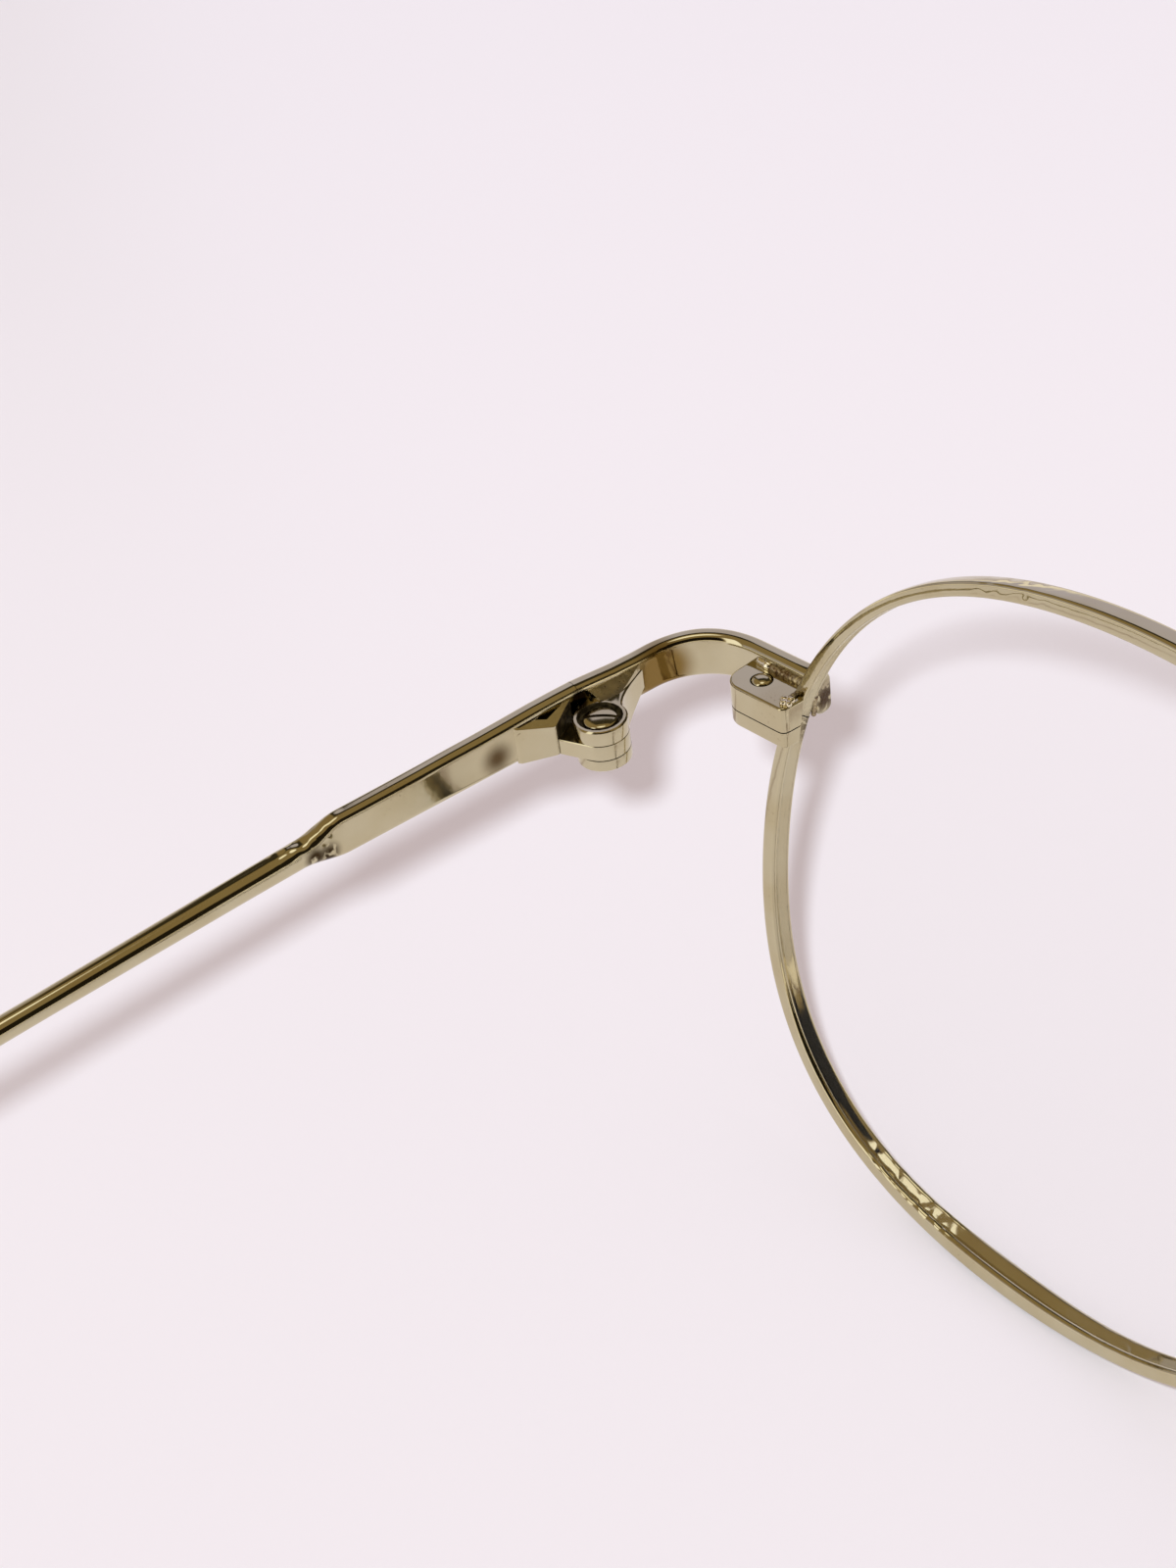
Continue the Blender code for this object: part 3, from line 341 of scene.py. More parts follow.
clear = Finish("clear_lens", Roughness=0.02, IOR=1.5, Alpha=0.015)
film = clear.noise(150.0, detail=1.0)
clear_lens = clear.use(Base_Color=clear.blend(film, (0.46, 0.47, 0.45), (0.54, 0.54, 0.52)))
for side in ("left", "right"):
    lens = frame["nodes"][f"lens_{side}"]
    dress(lens, clear_lens)
    smooth(lens, 30)


# The end pieces. Each is a flat strip with rounded edges, butted against the temple at the hinge, bent round
# to the front and brazed across the rim. From here on, places count from the middle of the hinge's top.

BAR_MIDDLE = 0.00262
BAR_THICKNESS = 0.00120
BAR_INSIDE = BAR_MIDDLE - BAR_THICKNESS / 2
BAR_TOP = 0.00060
BAR_BOTTOM = -0.00210
BAR_ROUNDING = 0.00048
QUARTER_POINTS = 12
BEND_RADIUS = 0.00499
BEND = math.radians(83.7)
BEND_START = -0.00568
BEND_STEPS = 32
FRONT_RUN = 0.00537
FRONT_LIFT = 0.00020
BEND_LIFT = 0.00013

at_hinge = Matrix.Translation(hinge_top)
outboard = Vector((1, 0, 0))
bend_centre = Vector((BAR_MIDDLE - BEND_RADIUS, BEND_START, 0))
along = Vector((-math.sin(BEND), -math.cos(BEND), 0))
to_rear = Vector((-math.cos(BEND), math.sin(BEND), 0))


def finish_with(piece, kind, **settings):
    """Applies a modifier to a piece."""
    bpy.context.view_layer.objects.active = piece
    modifier = piece.modifiers.new(kind, kind)
    for name, value in settings.items():
        setattr(modifier, name, value)
    bpy.ops.object.modifier_apply(modifier=modifier.name)


def flat_faces(piece):
    """Shades a piece smoothly over its rounded edges and keeps its flat faces flat."""
    smooth(piece, 50)
    finish_with(piece, "WEIGHTED_NORMAL", keep_sharp=True)


def join_all(prefix, name):
    """Joins all the objects whose names begin with a prefix."""
    for thing in bpy.data.objects:
        thing.select_set(thing.name.startswith(prefix))
    bpy.ops.object.join()
    joined = bpy.context.object
    joined.name = name
    return joined


def swept_bar(name, stations):
    """A bar through rounded sections, each given by its middle, outward way, width, height and corner."""
    deselect()
    for middle, outward, wide, tall, corner in stations:
        bpy.ops.mesh.primitive_circle_add(vertices=4 * QUARTER_POINTS, radius=1.0)
        hoop = bpy.context.object
        hoop.name = "bar_section"
        for index, vertex in enumerate(hoop.data.vertices):
            quarter, step = divmod(index, QUARTER_POINTS)
            angle = math.radians(90 * quarter + 90 * step / (QUARTER_POINTS - 1))
            side_x = (1, -1, -1, 1)[quarter]
            side_z = (1, 1, -1, -1)[quarter]
            across = side_x * (wide / 2 - corner) + corner * math.cos(angle)
            up = side_z * (tall / 2 - corner) + corner * math.sin(angle)
            vertex.co = middle + outward * across + Vector((0, 0, up))
    bar = join_all("bar_section", name)
    bpy.ops.object.mode_set(mode="EDIT")
    bpy.ops.mesh.select_all(action="SELECT")
    bpy.ops.mesh.bridge_edge_loops()
    bpy.ops.mesh.select_all(action="SELECT")
    bpy.ops.mesh.fill_holes(sides=0)
    outwards(bar)
    flat_faces(bar)
    return bar


def flat_station(x, y, outward, lift, shrink=0.0):
    """The flat bar's section at a place, its top lifted a little by hand filing."""
    top = BAR_TOP + lift - shrink
    bottom = BAR_BOTTOM + shrink
    corner = BAR_ROUNDING - shrink * 0.4
    return (Vector((x, y, (top + bottom) / 2)), outward, BAR_THICKNESS - shrink, top - bottom, corner)


strip_path = []
for y, lift in ((-0.000015, 0.00043), (-0.0010, 0.00037), (-0.0028, 0.00023), (-0.0045, 0.00018)):
    strip_path.append(flat_station(BAR_MIDDLE, y, outboard, lift))
for step in range(0, BEND_STEPS + 1):
    turn = BEND * step / BEND_STEPS
    lift = FRONT_LIFT + BEND_LIFT * math.sin(math.pi * step / BEND_STEPS) ** 2
    outward = Vector((math.cos(turn), -math.sin(turn), 0))
    middle = bend_centre + outward * BEND_RADIUS
    strip_path.append(flat_station(middle.x, middle.y, outward, lift))
bend_end = middle
for run, shrink in ((0.3, 0), (0.6, 0), (0.93, 0), (0.96, 0.00006), (0.985, 0.00018), (1.0, 0.00040)):
    middle = bend_end + along * FRONT_RUN * run
    strip_path.append(flat_station(middle.x, middle.y, outward, FRONT_LIFT, shrink))

# Colours on the end piece: a painted brown reflection for the strip's inner face, a painted near-black shade
# for the butt joint behind the barrel, and real burnt flux by the block.
PAINTED_BROWN_REFLECTION = (0.24, 0.156, 0.045)
BUTT_PAINTED_SHADE = (0.03, 0.02, 0.01)
BURNT_FLUX = (0.07, 0.038, 0.012)

strip_plate = GoldPlate("fluxed_gold_painted_shade_reflection")
# Painted reflection: a brown patch on the strip's inner face where the bend begins, in place of what that
# face reflects.
strip_plate.stain_and_painted_light(by_hinge(1.8, -6.0, -0.9), inner=1.2, outer=2.6, colour=PAINTED_BROWN_REFLECTION)
# Painted shade: near-black on the strip's faces at the butt joint, in the gap between the leaves behind the
# barrel.
strip_plate.stain_and_painted_light(by_hinge(2.0, 0.0, 0.2), inner=0.4, outer=0.8, colour=BUTT_PAINTED_SHADE)
strip_plate.stain_and_painted_light(by_hinge(-7.2, -11.2, -0.8), inner=0.3, outer=1.5, colour=BURNT_FLUX, speckle=1800)
settle(swept_bar("end_strip", strip_path), "end_piece", at_hinge, strip_plate.plated())


# The closing blocks. Each is a small block brazed under the end piece and split at the rim's joint, and a
# screw with a domed head, sunk in a recess painted with shade, draws its two halves together.

BLOCK_TOP = -0.00010
BLOCK_PARTING = -0.00185
BLOCK_HALF_GAP = 0.00004
BLOCK_BOTTOM = -0.00300
BLOCK_SINK = 0.00010
BLOCK_CORNER = 1.30
BLOCK_CORNER_REAR = 1.50
BLOCK_CORNER_STEPS = 12
BLOCK_ROUNDING = 0.00016
SEAT_DEPTH = 0.00300
SEAT_SINK = 0.00012
SEAT_RADIUS = RIM_INNER_RADIUS + WIRE_DEPTH - 0.00020
BLOCK_RECESS_RADIUS = 0.00071
BLOCK_RECESS_DEPTH = 0.00060
SHOULDER = 0.0004
DOME_STEPS = 8

block_start = bend_centre - to_rear * (BEND_RADIUS - BAR_THICKNESS / 2 + BLOCK_SINK)


def on_block(run, rear, up=0.0):
    """A place given in millimetres along the block, to the rear of its front edge and up."""
    return block_start + (along * run + to_rear * rear + Vector((0, 0, up))) * MILLIMETRE


def drawn(name, plan, low, high):
    """An upright block over a plan, drawn from a flat outline."""
    deselect()
    bpy.ops.mesh.primitive_circle_add(vertices=len(plan), radius=1.0, fill_type="NGON")
    block = bpy.context.object
    block.name = name
    for vertex, (x, y) in zip(block.data.vertices, plan):
        vertex.co = (x, y, low)
    bpy.ops.object.mode_set(mode="EDIT")
    bpy.ops.mesh.select_all(action="SELECT")
    bpy.ops.mesh.extrude_region_move(TRANSFORM_OT_translate={"value": (0, 0, high - low)})
    return outwards(block)


def combine(piece, tool, operation="DIFFERENCE"):
    """Cuts one solid from another, or joins them."""
    finish_with(piece, "BOOLEAN", operation=operation, solver="EXACT", object=tool)
    bpy.data.objects.remove(tool)


def round_cutter(vertices, radius, depth, place):
    """A round solid that cuts a bore or a seat, standing along Z of its place."""
    deselect()
    bpy.ops.mesh.primitive_cylinder_add(vertices=vertices, radius=radius, depth=depth)
    cutter = bpy.context.object
    cutter.data.transform(place)
    return cutter


def block_half(name, low, high, outer):
    """Half of the block, its outer edge rounded, cut away where the rim lies against it."""
    half = drawn(name, block_plan, low, high)
    for part in (*half.data.edges, *half.data.polygons):
        part.select = False
    for vertex in half.data.vertices:
        vertex.select = abs(vertex.co.z - outer) < 1e-6
    bpy.ops.object.mode_set(mode="EDIT")
    bpy.ops.mesh.bevel(offset=BLOCK_ROUNDING, segments=6, profile=0.5)
    bpy.ops.object.mode_set(mode="OBJECT")
    seat = at_hinge.inverted() @ rim_place @ Matrix.Rotation(math.radians(90), 4, "X")
    seat = seat @ Matrix.Translation((0, 0, (SEAT_DEPTH - WIRE_WIDTH) / 2 + SEAT_SINK))
    combine(half, round_cutter(256, SEAT_RADIUS, SEAT_DEPTH, seat))
    return half


def paint_recess_shade(piece, middle, radius, floor):
    """Gives the second material, a painted shade, to the faces inside a round recess."""
    for face in piece.data.polygons:
        spot = face.center - middle
        if math.hypot(spot.x, spot.y) < radius and spot.z < floor:
            face.material_index = 1


def domed_screw(name, place, head, rise, top, slot=0.0, turn=0.0):
    """A screw head: a low dome on a round shoulder, with a sawn slot if it has one."""
    deselect()
    bpy.ops.mesh.primitive_circle_add(vertices=64, radius=head, fill_type="NGON",
                                      location=place + Vector((0, 0, top - rise - SHOULDER)))
    screw = bpy.context.object
    screw.name = name
    bpy.ops.object.transform_apply()
    bpy.ops.object.mode_set(mode="EDIT")
    bpy.ops.mesh.select_all(action="SELECT")
    bpy.ops.mesh.extrude_region_move(TRANSFORM_OT_translate={"value": (0, 0, SHOULDER)})
    for step in range(1, DOME_STEPS):
        before = math.radians(90 * (step - 1) / DOME_STEPS)
        after = math.radians(90 * step / DOME_STEPS)
        bpy.ops.mesh.inset(thickness=head * (math.cos(before) - math.cos(after)))
        bpy.ops.transform.translate(value=(0, 0, rise * (math.sin(after) - math.sin(before))))
    outwards(screw)
    if slot:
        deselect()
        bpy.ops.mesh.primitive_cube_add(size=1.0, location=place + Vector((0, 0, top)), rotation=(0, 0, turn))
        saw = bpy.context.object
        saw.scale = (4 * head, slot, slot * 1.6)
        bpy.ops.object.transform_apply(location=False, rotation=False, scale=True)
        combine(screw, saw)
        way = Vector((-math.sin(turn), math.cos(turn), 0))
        # The slot's walls and floor get the second material, which on the hinge screw is a painted shade.
        for face in screw.data.polygons:
            if abs((face.center - place).dot(way)) < slot * 0.505 and face.center.z < top - slot * 0.3:
                face.material_index = 1
    smooth(screw, 40)
    return screw


polished = GoldPlate("polished_pale_gold").plated()
cast = GoldPlate("cast_pale_gold", gloss=0.12, tarnish=0.6, ripple=0.010).plated()
# Painted shade: a near-black metal given to faces in recesses, slots and gaps where shade falls, mottled by
# noise.
recess_shade_paint = Finish("painted_recess_shade", Metallic=0.7)
shade_mottle = recess_shade_paint.noise(2600.0, detail=3.0)
dark = recess_shade_paint.use(Base_Color=recess_shade_paint.blend(shade_mottle.above(0.40, 0.65), (0.030, 0.020, 0.008), (0.11, 0.080, 0.035)),
                 Roughness=0.35 + shade_mottle * 0.3)

block_outline = [(-0.00001, -0.0001), (5.15, -0.0001), (5.18, 1.30), (5.06, 2.30), (5.00, 2.54), (4.90, 2.68),
                 (4.76, 2.765), (4.56, 2.80)]
for step in range(0, BLOCK_CORNER_STEPS + 1):
    angle = math.radians(90 + 90 * step / BLOCK_CORNER_STEPS)
    block_outline.append((BLOCK_CORNER * (1 + math.cos(angle)),
                          BLOCK_CORNER_REAR + BLOCK_CORNER * math.sin(angle)))
block_plan = [on_block(run, rear).xy for run, rear in block_outline]
block_screw_place = on_block(1.94, 1.28)

upper = block_half("block_upper", BLOCK_PARTING + BLOCK_HALF_GAP, BLOCK_TOP, BLOCK_TOP)
recess_place = Matrix.Translation(block_screw_place + Vector((0, 0, BLOCK_TOP)))
combine(upper, round_cutter(64, BLOCK_RECESS_RADIUS, BLOCK_RECESS_DEPTH, recess_place))
flat_faces(upper)
# Painted shade on the walls and floor of the recess round the block's screw.
paint_recess_shade(upper, block_screw_place, BLOCK_RECESS_RADIUS - 0.00001, BLOCK_TOP - 0.00006)
settle(upper, "closing_block_upper", at_hinge, polished, dark)
lower = block_half("block_lower", BLOCK_BOTTOM, BLOCK_PARTING - BLOCK_HALF_GAP, BLOCK_BOTTOM)
flat_faces(lower)
settle(lower, "closing_block_lower", at_hinge, polished)
block_screw = domed_screw("block_screw", block_screw_place, head=0.00064, rise=0.00028,
                          top=BLOCK_TOP + 0.00022)
settle(block_screw, "closing_block_screw", at_hinge, cast)


# The hinges. Two cast leaves are brazed inside the end piece and the temple. Their three barrels turn on one
# slotted screw, whose head sits in a counterbore, and the leaves were tumbled until their edges were round.
# The counterbore, the screw's slot, the leaf's hollow and the faces beside the barrel are painted with shade.

LEAF_MERGE = 0.000002
LEAF_FLATTEN = math.radians(1.5)
LEAF_EDGE_ANGLE = math.radians(28)
FRONT_LEAF_ROUNDING = 0.00014
TEMPLE_LEAF_ROUNDING = 0.00015
BARREL_RECESS_RADIUS = 0.00139
BARREL_REACH = 0.00170
FLANGE_FLOOR = -0.00030
FLANGE_TOP = 0.00040
FLANGE_SLOPE = 0.38
LEAF_FLOOR = BAR_BOTTOM + 0.00007
LEAF_TOP = 0.00052
LEAF_SLOPE = 0.50
POCKET_FLOOR = 0.00038
HOLLOW_FLOOR = -0.00040
CUT_TOP = 0.00150


def rounded_copy(node, name, edge, add=(), cut=()):
    """The left CAD solid with pieces joined to it and cut from it, and its hard edges rounded over."""
    deselect()
    piece = bpy.data.objects.new(name, frame["nodes"][f"{node}_left"].data.copy())
    bpy.context.scene.collection.objects.link(piece)
    piece.select_set(True)
    bpy.context.view_layer.objects.active = piece
    bpy.ops.object.mode_set(mode="EDIT")
    bpy.ops.mesh.select_all(action="SELECT")
    bpy.ops.mesh.remove_doubles(threshold=LEAF_MERGE)
    bpy.ops.mesh.dissolve_limited(angle_limit=LEAF_FLATTEN)
    bpy.ops.object.mode_set(mode="OBJECT")
    if piece.data.has_custom_normals:
        bpy.ops.mesh.customdata_custom_splitnormals_clear()
    piece.data.transform(at_hinge.inverted())
    for tool in add:
        combine(piece, tool, "UNION")
    for tool in cut:
        combine(piece, tool)
    finish_with(piece, "BEVEL", width=edge, segments=3, limit_method="ANGLE", angle_limit=LEAF_EDGE_ANGLE,
                miter_outer="MITER_ARC")
    flat_faces(piece)
    return piece


def slope_down(block, slope, below=1.0):
    """Slopes the points of a block that lie from 0 up to a height down towards the glasses' middle."""
    for vertex in block.data.vertices:
        if 0 < vertex.co.z < below:
            vertex.co.z -= (BAR_INSIDE - vertex.co.x) * slope


rough_cast = GoldPlate("rough_cast_pale_gold", colour=(0.50, 0.44, 0.28), gloss=0.26, tarnish=1.0,
                       ripple=0.040).plated()

flange_plan = ((0.00206, -0.00072), (0.00206, -0.00462), (0.00168, -0.00385), (0.00126, -0.00300),
               (0.00098, -0.00230), (0.00090, -0.00150), (0.00120, -0.00090))
flange = drawn("flange_rise", flange_plan, FLANGE_FLOOR, FLANGE_TOP)
slope_down(flange, FLANGE_SLOPE)
front_leaf = rounded_copy("hinge_front_leaf", "front_leaf", FRONT_LEAF_ROUNDING, add=(flange,))
# Painted shade on the faces inside the counterbore round the screw's head.
paint_recess_shade(front_leaf, Vector((0, 0, 0)), BARREL_RECESS_RADIUS, -0.00008)
for face in front_leaf.data.polygons:
    spot = face.center
    on_flange = spot.y < 0 and spot.z > FLANGE_FLOOR and math.hypot(spot.x, spot.y) > BARREL_REACH
    if on_flange and face.normal.z > 0.8:
        face.material_index = 2
settle(front_leaf, "hinge_front_leaf", at_hinge, cast, dark, rough_cast)
hinge_screw = domed_screw("hinge_slotted_screw", Vector((0, 0, 0)), head=0.00106, rise=0.00022, top=0.00004,
                          slot=0.00026, turn=math.radians(49))
settle(hinge_screw, "hinge_screw", at_hinge, cast, dark)

leaf_plan = ((0.00206, 0.00058), (0.00206, 0.00478), (0.00186, 0.00462), (0.00104, 0.00262),
             (0.00104, 0.00245))
leaf_block = drawn("leaf_block", leaf_plan, LEAF_FLOOR, LEAF_TOP)
slope_down(leaf_block, LEAF_SLOPE)
pocket_plan = ((0.00220, 0.00095), (0.00220, 0.00462), (0.00194, 0.00446), (0.00128, 0.00262))
pocket = drawn("leaf_pocket", pocket_plan, POCKET_FLOOR, CUT_TOP)
slope_down(pocket, LEAF_SLOPE, below=CUT_TOP - 0.0005)
hollow_plan = ((0.00208, 0.00130), (0.00208, 0.00335), (0.00172, 0.00258))
hollow = drawn("leaf_hollow", hollow_plan, HOLLOW_FLOOR, CUT_TOP)
temple_leaf = rounded_copy("hinge_temple_leaf", "temple_leaf", TEMPLE_LEAF_ROUNDING, add=(leaf_block,),
                           cut=(pocket, hollow))
# Painted shade: the faces in the leaf's hollow and those facing the barrel get the second material.
for face in temple_leaf.data.polygons:
    spot = face.center
    in_hollow = 0.0012 < spot.y < 0.0034 and spot.x > 0.00166 and -0.00045 < spot.z < 0.00020
    by_barrel = face.normal.y < -0.3 and face.normal.x < 0 and math.hypot(spot.x, spot.y) > 0.00172
    if in_hollow or by_barrel:
        face.material_index = 1
settle(temple_leaf, "hinge_temple_leaf", at_hinge, cast, dark)


# The brazing. Beads of solder ran along the strip above the closing block and round the rim's joint, and
# cooled as shiny lumps with brown flux left between them.

BEAD_GRAIN = 0.000032
BEAD_EASING = 22


def bead(name, drops, metal):
    """A run of melted drops, each given by its place on the block and its radius, in millimetres."""
    deselect()
    for run, rear, up, radius in drops:
        bpy.ops.mesh.primitive_uv_sphere_add(segments=20, ring_count=12, radius=radius * MILLIMETRE,
                                             location=on_block(run, rear, up))
        bpy.context.object.name = f"{name}_drop"
    lump = join_all(f"{name}_drop", name)
    bpy.ops.object.transform_apply()
    finish_with(lump, "REMESH", mode="VOXEL", voxel_size=BEAD_GRAIN)
    finish_with(lump, "SMOOTH", factor=0.5, iterations=BEAD_EASING)
    lump.data.shade_smooth()
    for thing in both_sides(lump, at_hinge, metal):
        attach(thing, "front")


def run_of_drops(first, last, count, size):
    """Drops that overlap along a line between two places in the block's frame, uneven in size and place."""
    drops = []
    for index in range(count):
        share = index / (count - 1)
        run, rear, up = (a + (b - a) * share for a, b in zip(first, last))
        wave = math.sin(2.3 * index) * 0.5 + math.sin(5.1 * index + 1.0) * 0.5
        sway = math.sin(3.7 * index + 0.5)
        drops.append((run, rear + 0.04 * sway, up + 0.04 * wave, size * (1 + 0.22 * wave)))
    return drops


solder = GoldPlate("brazed_bead", colour=(0.86, 0.80, 0.62), gloss=0.16, tarnish=1.0, ripple=0.030).plated()
browned = Finish("browned_bead", Metallic=0.9)
crust = browned.noise(3800.0, detail=3.0)
flux = browned.use(Base_Color=browned.blend(crust.above(0.36, 0.62), (0.16, 0.10, 0.045), (0.46, 0.38, 0.22)),
                   Roughness=0.18 + crust * 0.25, Normal=browned.bump(crust, 0.00005))
bead("strip_bead", run_of_drops((0.75, 0.05, 0.04), (1.45, 0.14, 0.00), 12, 0.30), solder)
bead("strip_flux", run_of_drops((1.35, 0.10, -0.02), (4.60, 0.12, -0.02), 44, 0.25), flux)
bead("rim_bead", run_of_drops((4.35, 1.95, -0.04), (4.85, 1.80, 0.04), 6, 0.21)
     + run_of_drops((4.55, 2.25, -0.04), (4.95, 2.15, 0.00), 5, 0.19), solder)
bead("edge_flux", run_of_drops((4.60, 0.10, 0.05), (4.55, 1.60, -0.04), 18, 0.16), flux)
bead("joint_bead", run_of_drops((5.20, -0.02, 0.20), (4.95, 0.20, -1.90), 26, 0.16), flux)


# The temples. Each is a flat bar of the same section as the end piece, swaged down through a neck to round
# wire, which toes in a little and runs into its tip.

FLAT_LENGTH = 0.0163
NECK_LENGTH = 0.0030
NECK_STEPS = 12
NECK_INBOARD = 0.00005
TAPER_LENGTH = 0.0160
WIRE_START = FLAT_LENGTH + NECK_LENGTH
WIRE_END = 0.0765
WIRE_OUTBOARD = 0.00260
TOE_IN = math.tan(math.radians(3.8))
NECK = (0.00152, 0.00160, 0.00070)
WIRE = (0.00140, 0.00140, 0.00070)
WIRE_HEIGHT = -0.000735


def wire_station(run, size):
    """The round wire's section at a distance behind the neck."""
    return (Vector((WIRE_OUTBOARD - run * TOE_IN, WIRE_START + run, WIRE_HEIGHT)), outboard, *size)


temple_path = []
for y, lift in ((0.015, 0.43), (1.5, 0.43), (3.0, 0.40), (5.0, 0.31), (7.0, 0.24), (9.0, 0.20), (11.0, 0.13),
                (13.0, 0.09), (15.0, 0.06), (FLAT_LENGTH / MILLIMETRE, 0.05)):
    temple_path.append(flat_station(BAR_MIDDLE, y * MILLIMETRE, outboard, lift * MILLIMETRE))
flat_end = temple_path[-1]
for step in range(1, NECK_STEPS + 1):
    share = step / NECK_STEPS
    ease = share * share * (3 - 2 * share)
    size = [a + (b - a) * ease for a, b in zip(flat_end[2:], NECK)]
    up = flat_end[0].z * (1 - ease) + WIRE_HEIGHT * ease
    middle = Vector((BAR_MIDDLE - NECK_INBOARD * ease, FLAT_LENGTH + NECK_LENGTH * share, up))
    temple_path.append((middle, outboard, *size))
for share in (0.25, 0.5, 0.75, 1.0):
    size = [a + (b - a) * share for a, b in zip(NECK, WIRE)]
    temple_path.append(wire_station(TAPER_LENGTH * share, size))
temple_path.append(wire_station(WIRE_END - WIRE_START, WIRE))

# A painted dark reflection for the bar's inner face, and real tarnish for the neck.
PAINTED_DARK_REFLECTION = (0.12, 0.08, 0.035)
NECK_TARNISH = (0.045, 0.026, 0.008)

temple_plate = GoldPlate("tarnished_gold_painted_shade_reflection")
# Painted reflection: a dark patch on the bar's inner face just behind the leaf.
temple_plate.stain_and_painted_light(by_hinge(2.0, 6.1, -0.9), inner=0.1, outer=1.5, colour=PAINTED_DARK_REFLECTION)
# Painted shade: near-black on the bar's faces at the butt joint, in the gap between the leaves behind the
# barrel.
temple_plate.stain_and_painted_light(by_hinge(2.0, 0.0, 0.2), inner=0.4, outer=0.8, colour=BUTT_PAINTED_SHADE)
temple_plate.stain_and_painted_light(by_hinge(1.9, 18.6, -0.9), inner=0.2, outer=0.9, colour=NECK_TARNISH, speckle=1500)
temple_plate.stain_and_painted_light(by_hinge(2.0, 17.7, -1.2), inner=0.2, outer=1.0, colour=NECK_TARNISH, speckle=2100)
temple_plate.hammer(by_hinge(3.4, 18.8, 1.0), inner=1.4, outer=3.0, depth=0.12)
settle(swept_bar("temple_bar", temple_path), "temple", at_hinge, temple_plate.plated())


# The bridge. It is an arched bar between the two rims, brazed to them at its feet and plated as the blocks
# are.

dress(frame["nodes"]["bridge"], polished)


# The temple tips. Each is a moulded sleeve of mottled brown plastic, pushed over the end of the temple's
# wire.

mottled = Finish("tortoise_tip", Roughness=0.18, IOR=1.5)
mottle = mottled.noise(160.0, detail=4.0)
tortoise = mottled.use(Base_Color=mottled.blend(mottle.above(0.40, 0.62), (0.060, 0.022, 0.008),
                                                (0.20, 0.085, 0.02)))
for side in ("left", "right"):
    dress(frame["nodes"][f"temple_tip_{side}"], tortoise)


# The nose pads. A looped wire arm from each rim carries a small plated box, and the soft clear pad rocks on
# the screw through it.

soft = Finish("soft_clear_pad", Roughness=0.28, IOR=1.42, Transmission_Weight=0.55)
soft_clear = soft.use(Base_Color=soft.blend(soft.noise(300.0), (0.90, 0.89, 0.85), (0.94, 0.94, 0.92)))
for side in ("left", "right"):
    for node in ("pad_arm", "pad_box", "pad_screw"):
        dress(frame["nodes"][f"{node}_{side}"], polished)
    dress(frame["nodes"][f"nose_pad_{side}"], soft_clear)


# The surface that the glasses stand on. It is a wide sheet, glossy and white with a little pink, and it
# keeps their shadows.

deselect()
bpy.ops.mesh.primitive_plane_add(size=9.0, location=(0, 0, 0))
surface = bpy.context.object
surface.name = "white_surface"
dress(surface, Finish("white_surface", Base_Color=(0.88, 0.83, 0.865), Roughness=0.35, IOR=1.35).material)


# The light. A small lamp close beside the camera is as bright far off as near, and around the glasses is a
# room of light and dark areas, which the plate reflects.

LOWEST_SLOPE = 0.25

bpy.ops.object.light_add(type="POINT")
lamp = bpy.context.object
lamp.name = "lamp_beside_camera"
lamp.location = by_hinge(-71.9, 51.8, 73.8)
lamp.data.energy = 19.6
lamp.data.color = (0.84, 0.94, 1.0)
lamp.data.shadow_soft_size = 0.0034
lamp.visible_glossy = False
lamp.data.use_nodes = True
beam = Nodes(lamp.data.node_tree)
steady = beam.node("ShaderNodeLightFalloff", "Constant", None, {"Strength": 1.0})
heading = beam.node("ShaderNodeTexCoord", "Normal")
down = abs(beam.node("ShaderNodeSeparateXYZ", "Z", None, {0: heading}))
beam.feed(beam.tree.nodes["Emission"].inputs["Strength"], steady / down.at_least(LOWEST_SLOPE))

SIDE_BLUR = 0.03
HEIGHT_BLUR = 2
ROOM_BROWN = (0.34, 0.25, 0.12)
ROOM_LIGHT = (0.64, 0.565, 0.54)
BACKDROP = (0.90, 0.87, 0.89)

world = bpy.data.worlds.new("room")
bpy.context.scene.world = world
world.use_nodes = True
sky = Nodes(world.node_tree)
ray = sky.node("ShaderNodeLightPath", "Is Glossy Ray")
around = sky.node("ShaderNodeTexCoord", "Generated")


def facing(direction):
    """How squarely a ray looks along a direction, from -1 to 1."""
    return sky.node("ShaderNodeVectorMath", "Value", {"operation": "DOT_PRODUCT"},
                    {0: around, 1: direction})


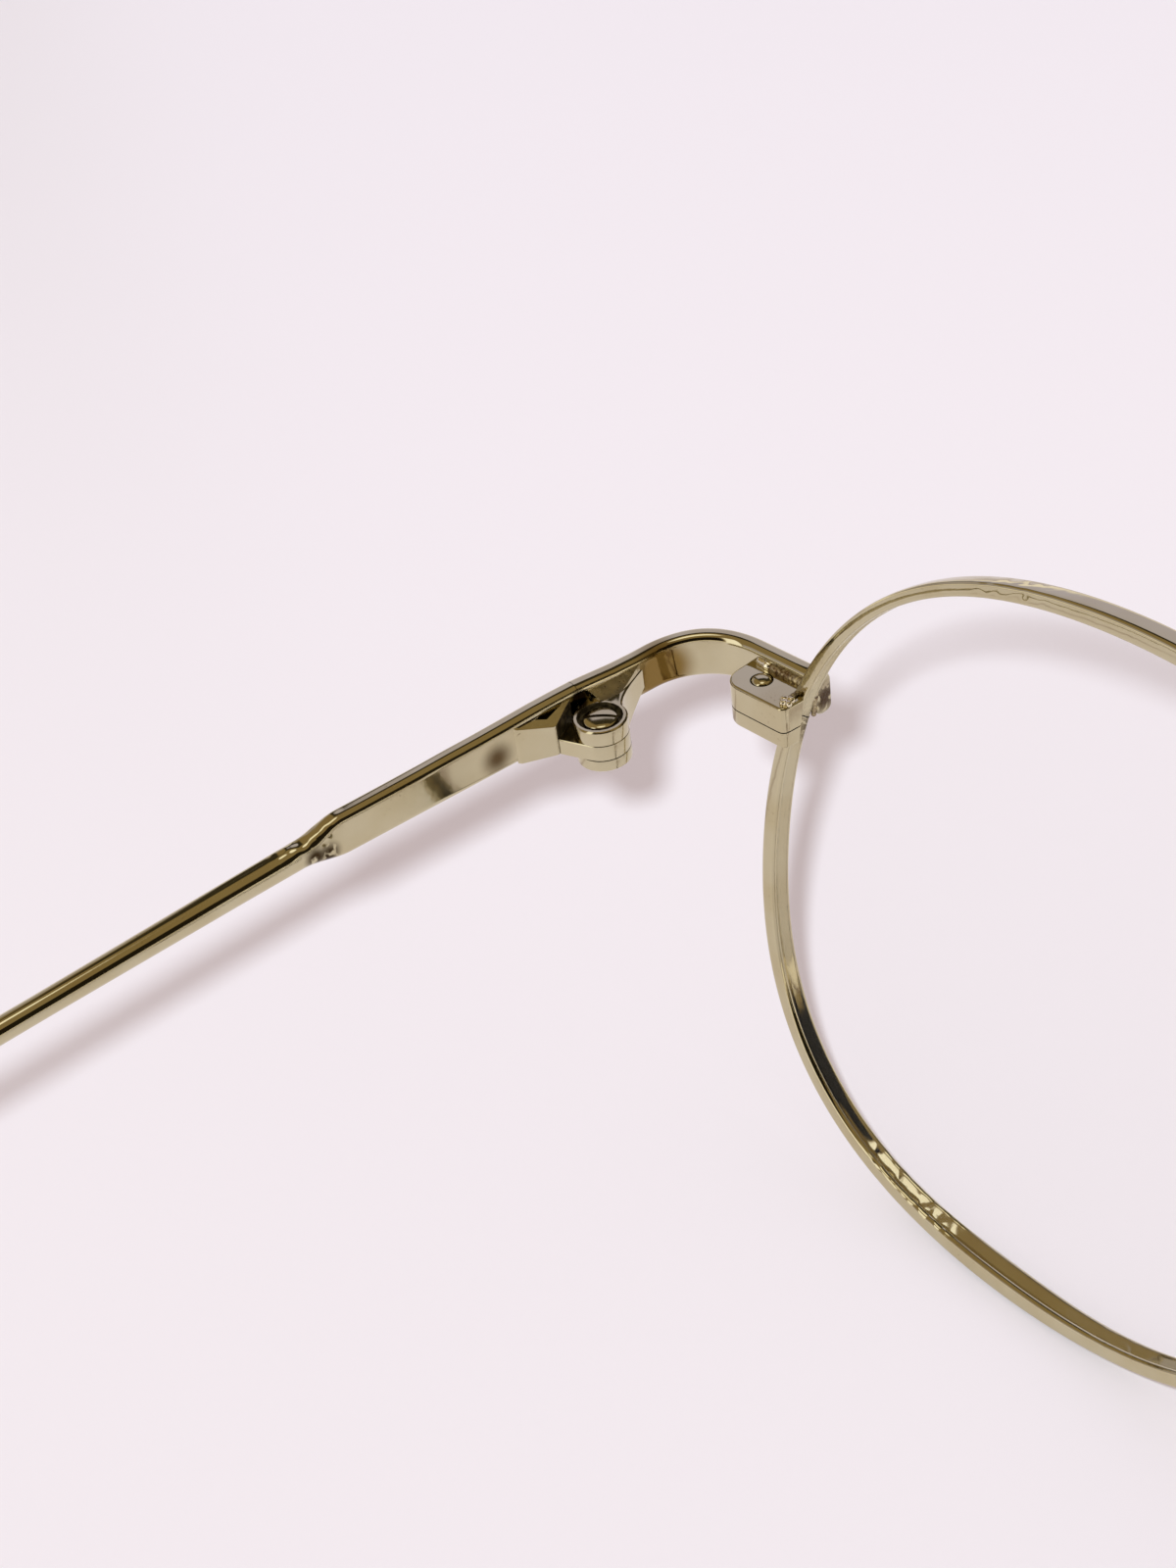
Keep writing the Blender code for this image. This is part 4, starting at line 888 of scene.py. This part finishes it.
def between(first, last, low, high):
    """1 between two bearings and two heights in degrees, falling softly to 0 outside them."""
    begin = math.radians(first)
    end = math.radians(last)
    left = facing((-math.sin(begin), math.cos(begin), 0)).above(-SIDE_BLUR, SIDE_BLUR)
    right = facing((math.sin(end), -math.cos(end), 0)).above(-SIDE_BLUR, SIDE_BLUR)
    floor, top = (height.above(math.sin(math.radians(level - HEIGHT_BLUR)),
                               math.sin(math.radians(level + HEIGHT_BLUR))) for level in (low, high))
    return left * right * floor * (1 - top)


height = facing((0, 0, 1))
room = ROOM_BROWN
for patch, colour in (
    (between(-20, 75, -60, 30), (0.52, 0.47, 0.50)),
    (between(-100, -12, -60, 64), (0.05, 0.04, 0.02)),
    (between(-66, -20, -60, 44), (0.66, 0.62, 0.78)),
    (1 - height.above(0.08, 0.16), (1.15, 1.06, 0.98)),
    (between(-170, -90, -60, 20), (1.45, 1.30, 1.12)),
    (between(-178, -84, 9, 34), (0.05, 0.038, 0.016)),
    (between(106, 188, 11, 52), (0.012, 0.009, 0.005)),
    (between(174, 204, 3, 43), (0.02, 0.015, 0.008)),
    (between(78, 103, 4, 56), (1.5, 1.45, 1.4)),
    (height.above(0.977, 0.984), (1.5, 1.42, 1.25)),
):
    room = sky.blend(patch, room, colour)
lit = sky.blend(ray, ROOM_LIGHT, room)
seen = sky.blend(ray.output("Is Camera Ray"), lit, BACKDROP)
sky.feed(sky.tree.nodes["Background"].inputs["Color"], seen)


# The camera, a hand's width behind and above the left temple, close to the hinge. Its axes and place were
# fitted to the outlines in the photograph.

right = Vector((-0.5869, -0.8009, -0.1188)).normalized()
rise = Vector((0.4464, -0.4425, 0.7777))
rise = (rise - right * rise.dot(right)).normalized()
back = right.cross(rise)
view = Matrix((right, rise, back)).transposed().to_4x4()
view.translation = by_hinge(-79.06, 48.71, 67.97)
bpy.ops.object.camera_add()
camera = bpy.context.object
camera.name = "camera"
camera.matrix_world = view
camera.data.sensor_fit = "HORIZONTAL"
camera.data.sensor_width = 36.0
camera.data.lens = 60.0
camera.data.clip_start = 0.005
camera.data.clip_end = 10.0
bpy.context.scene.camera = camera
bpy.context.scene.view_settings.view_transform = "Standard"
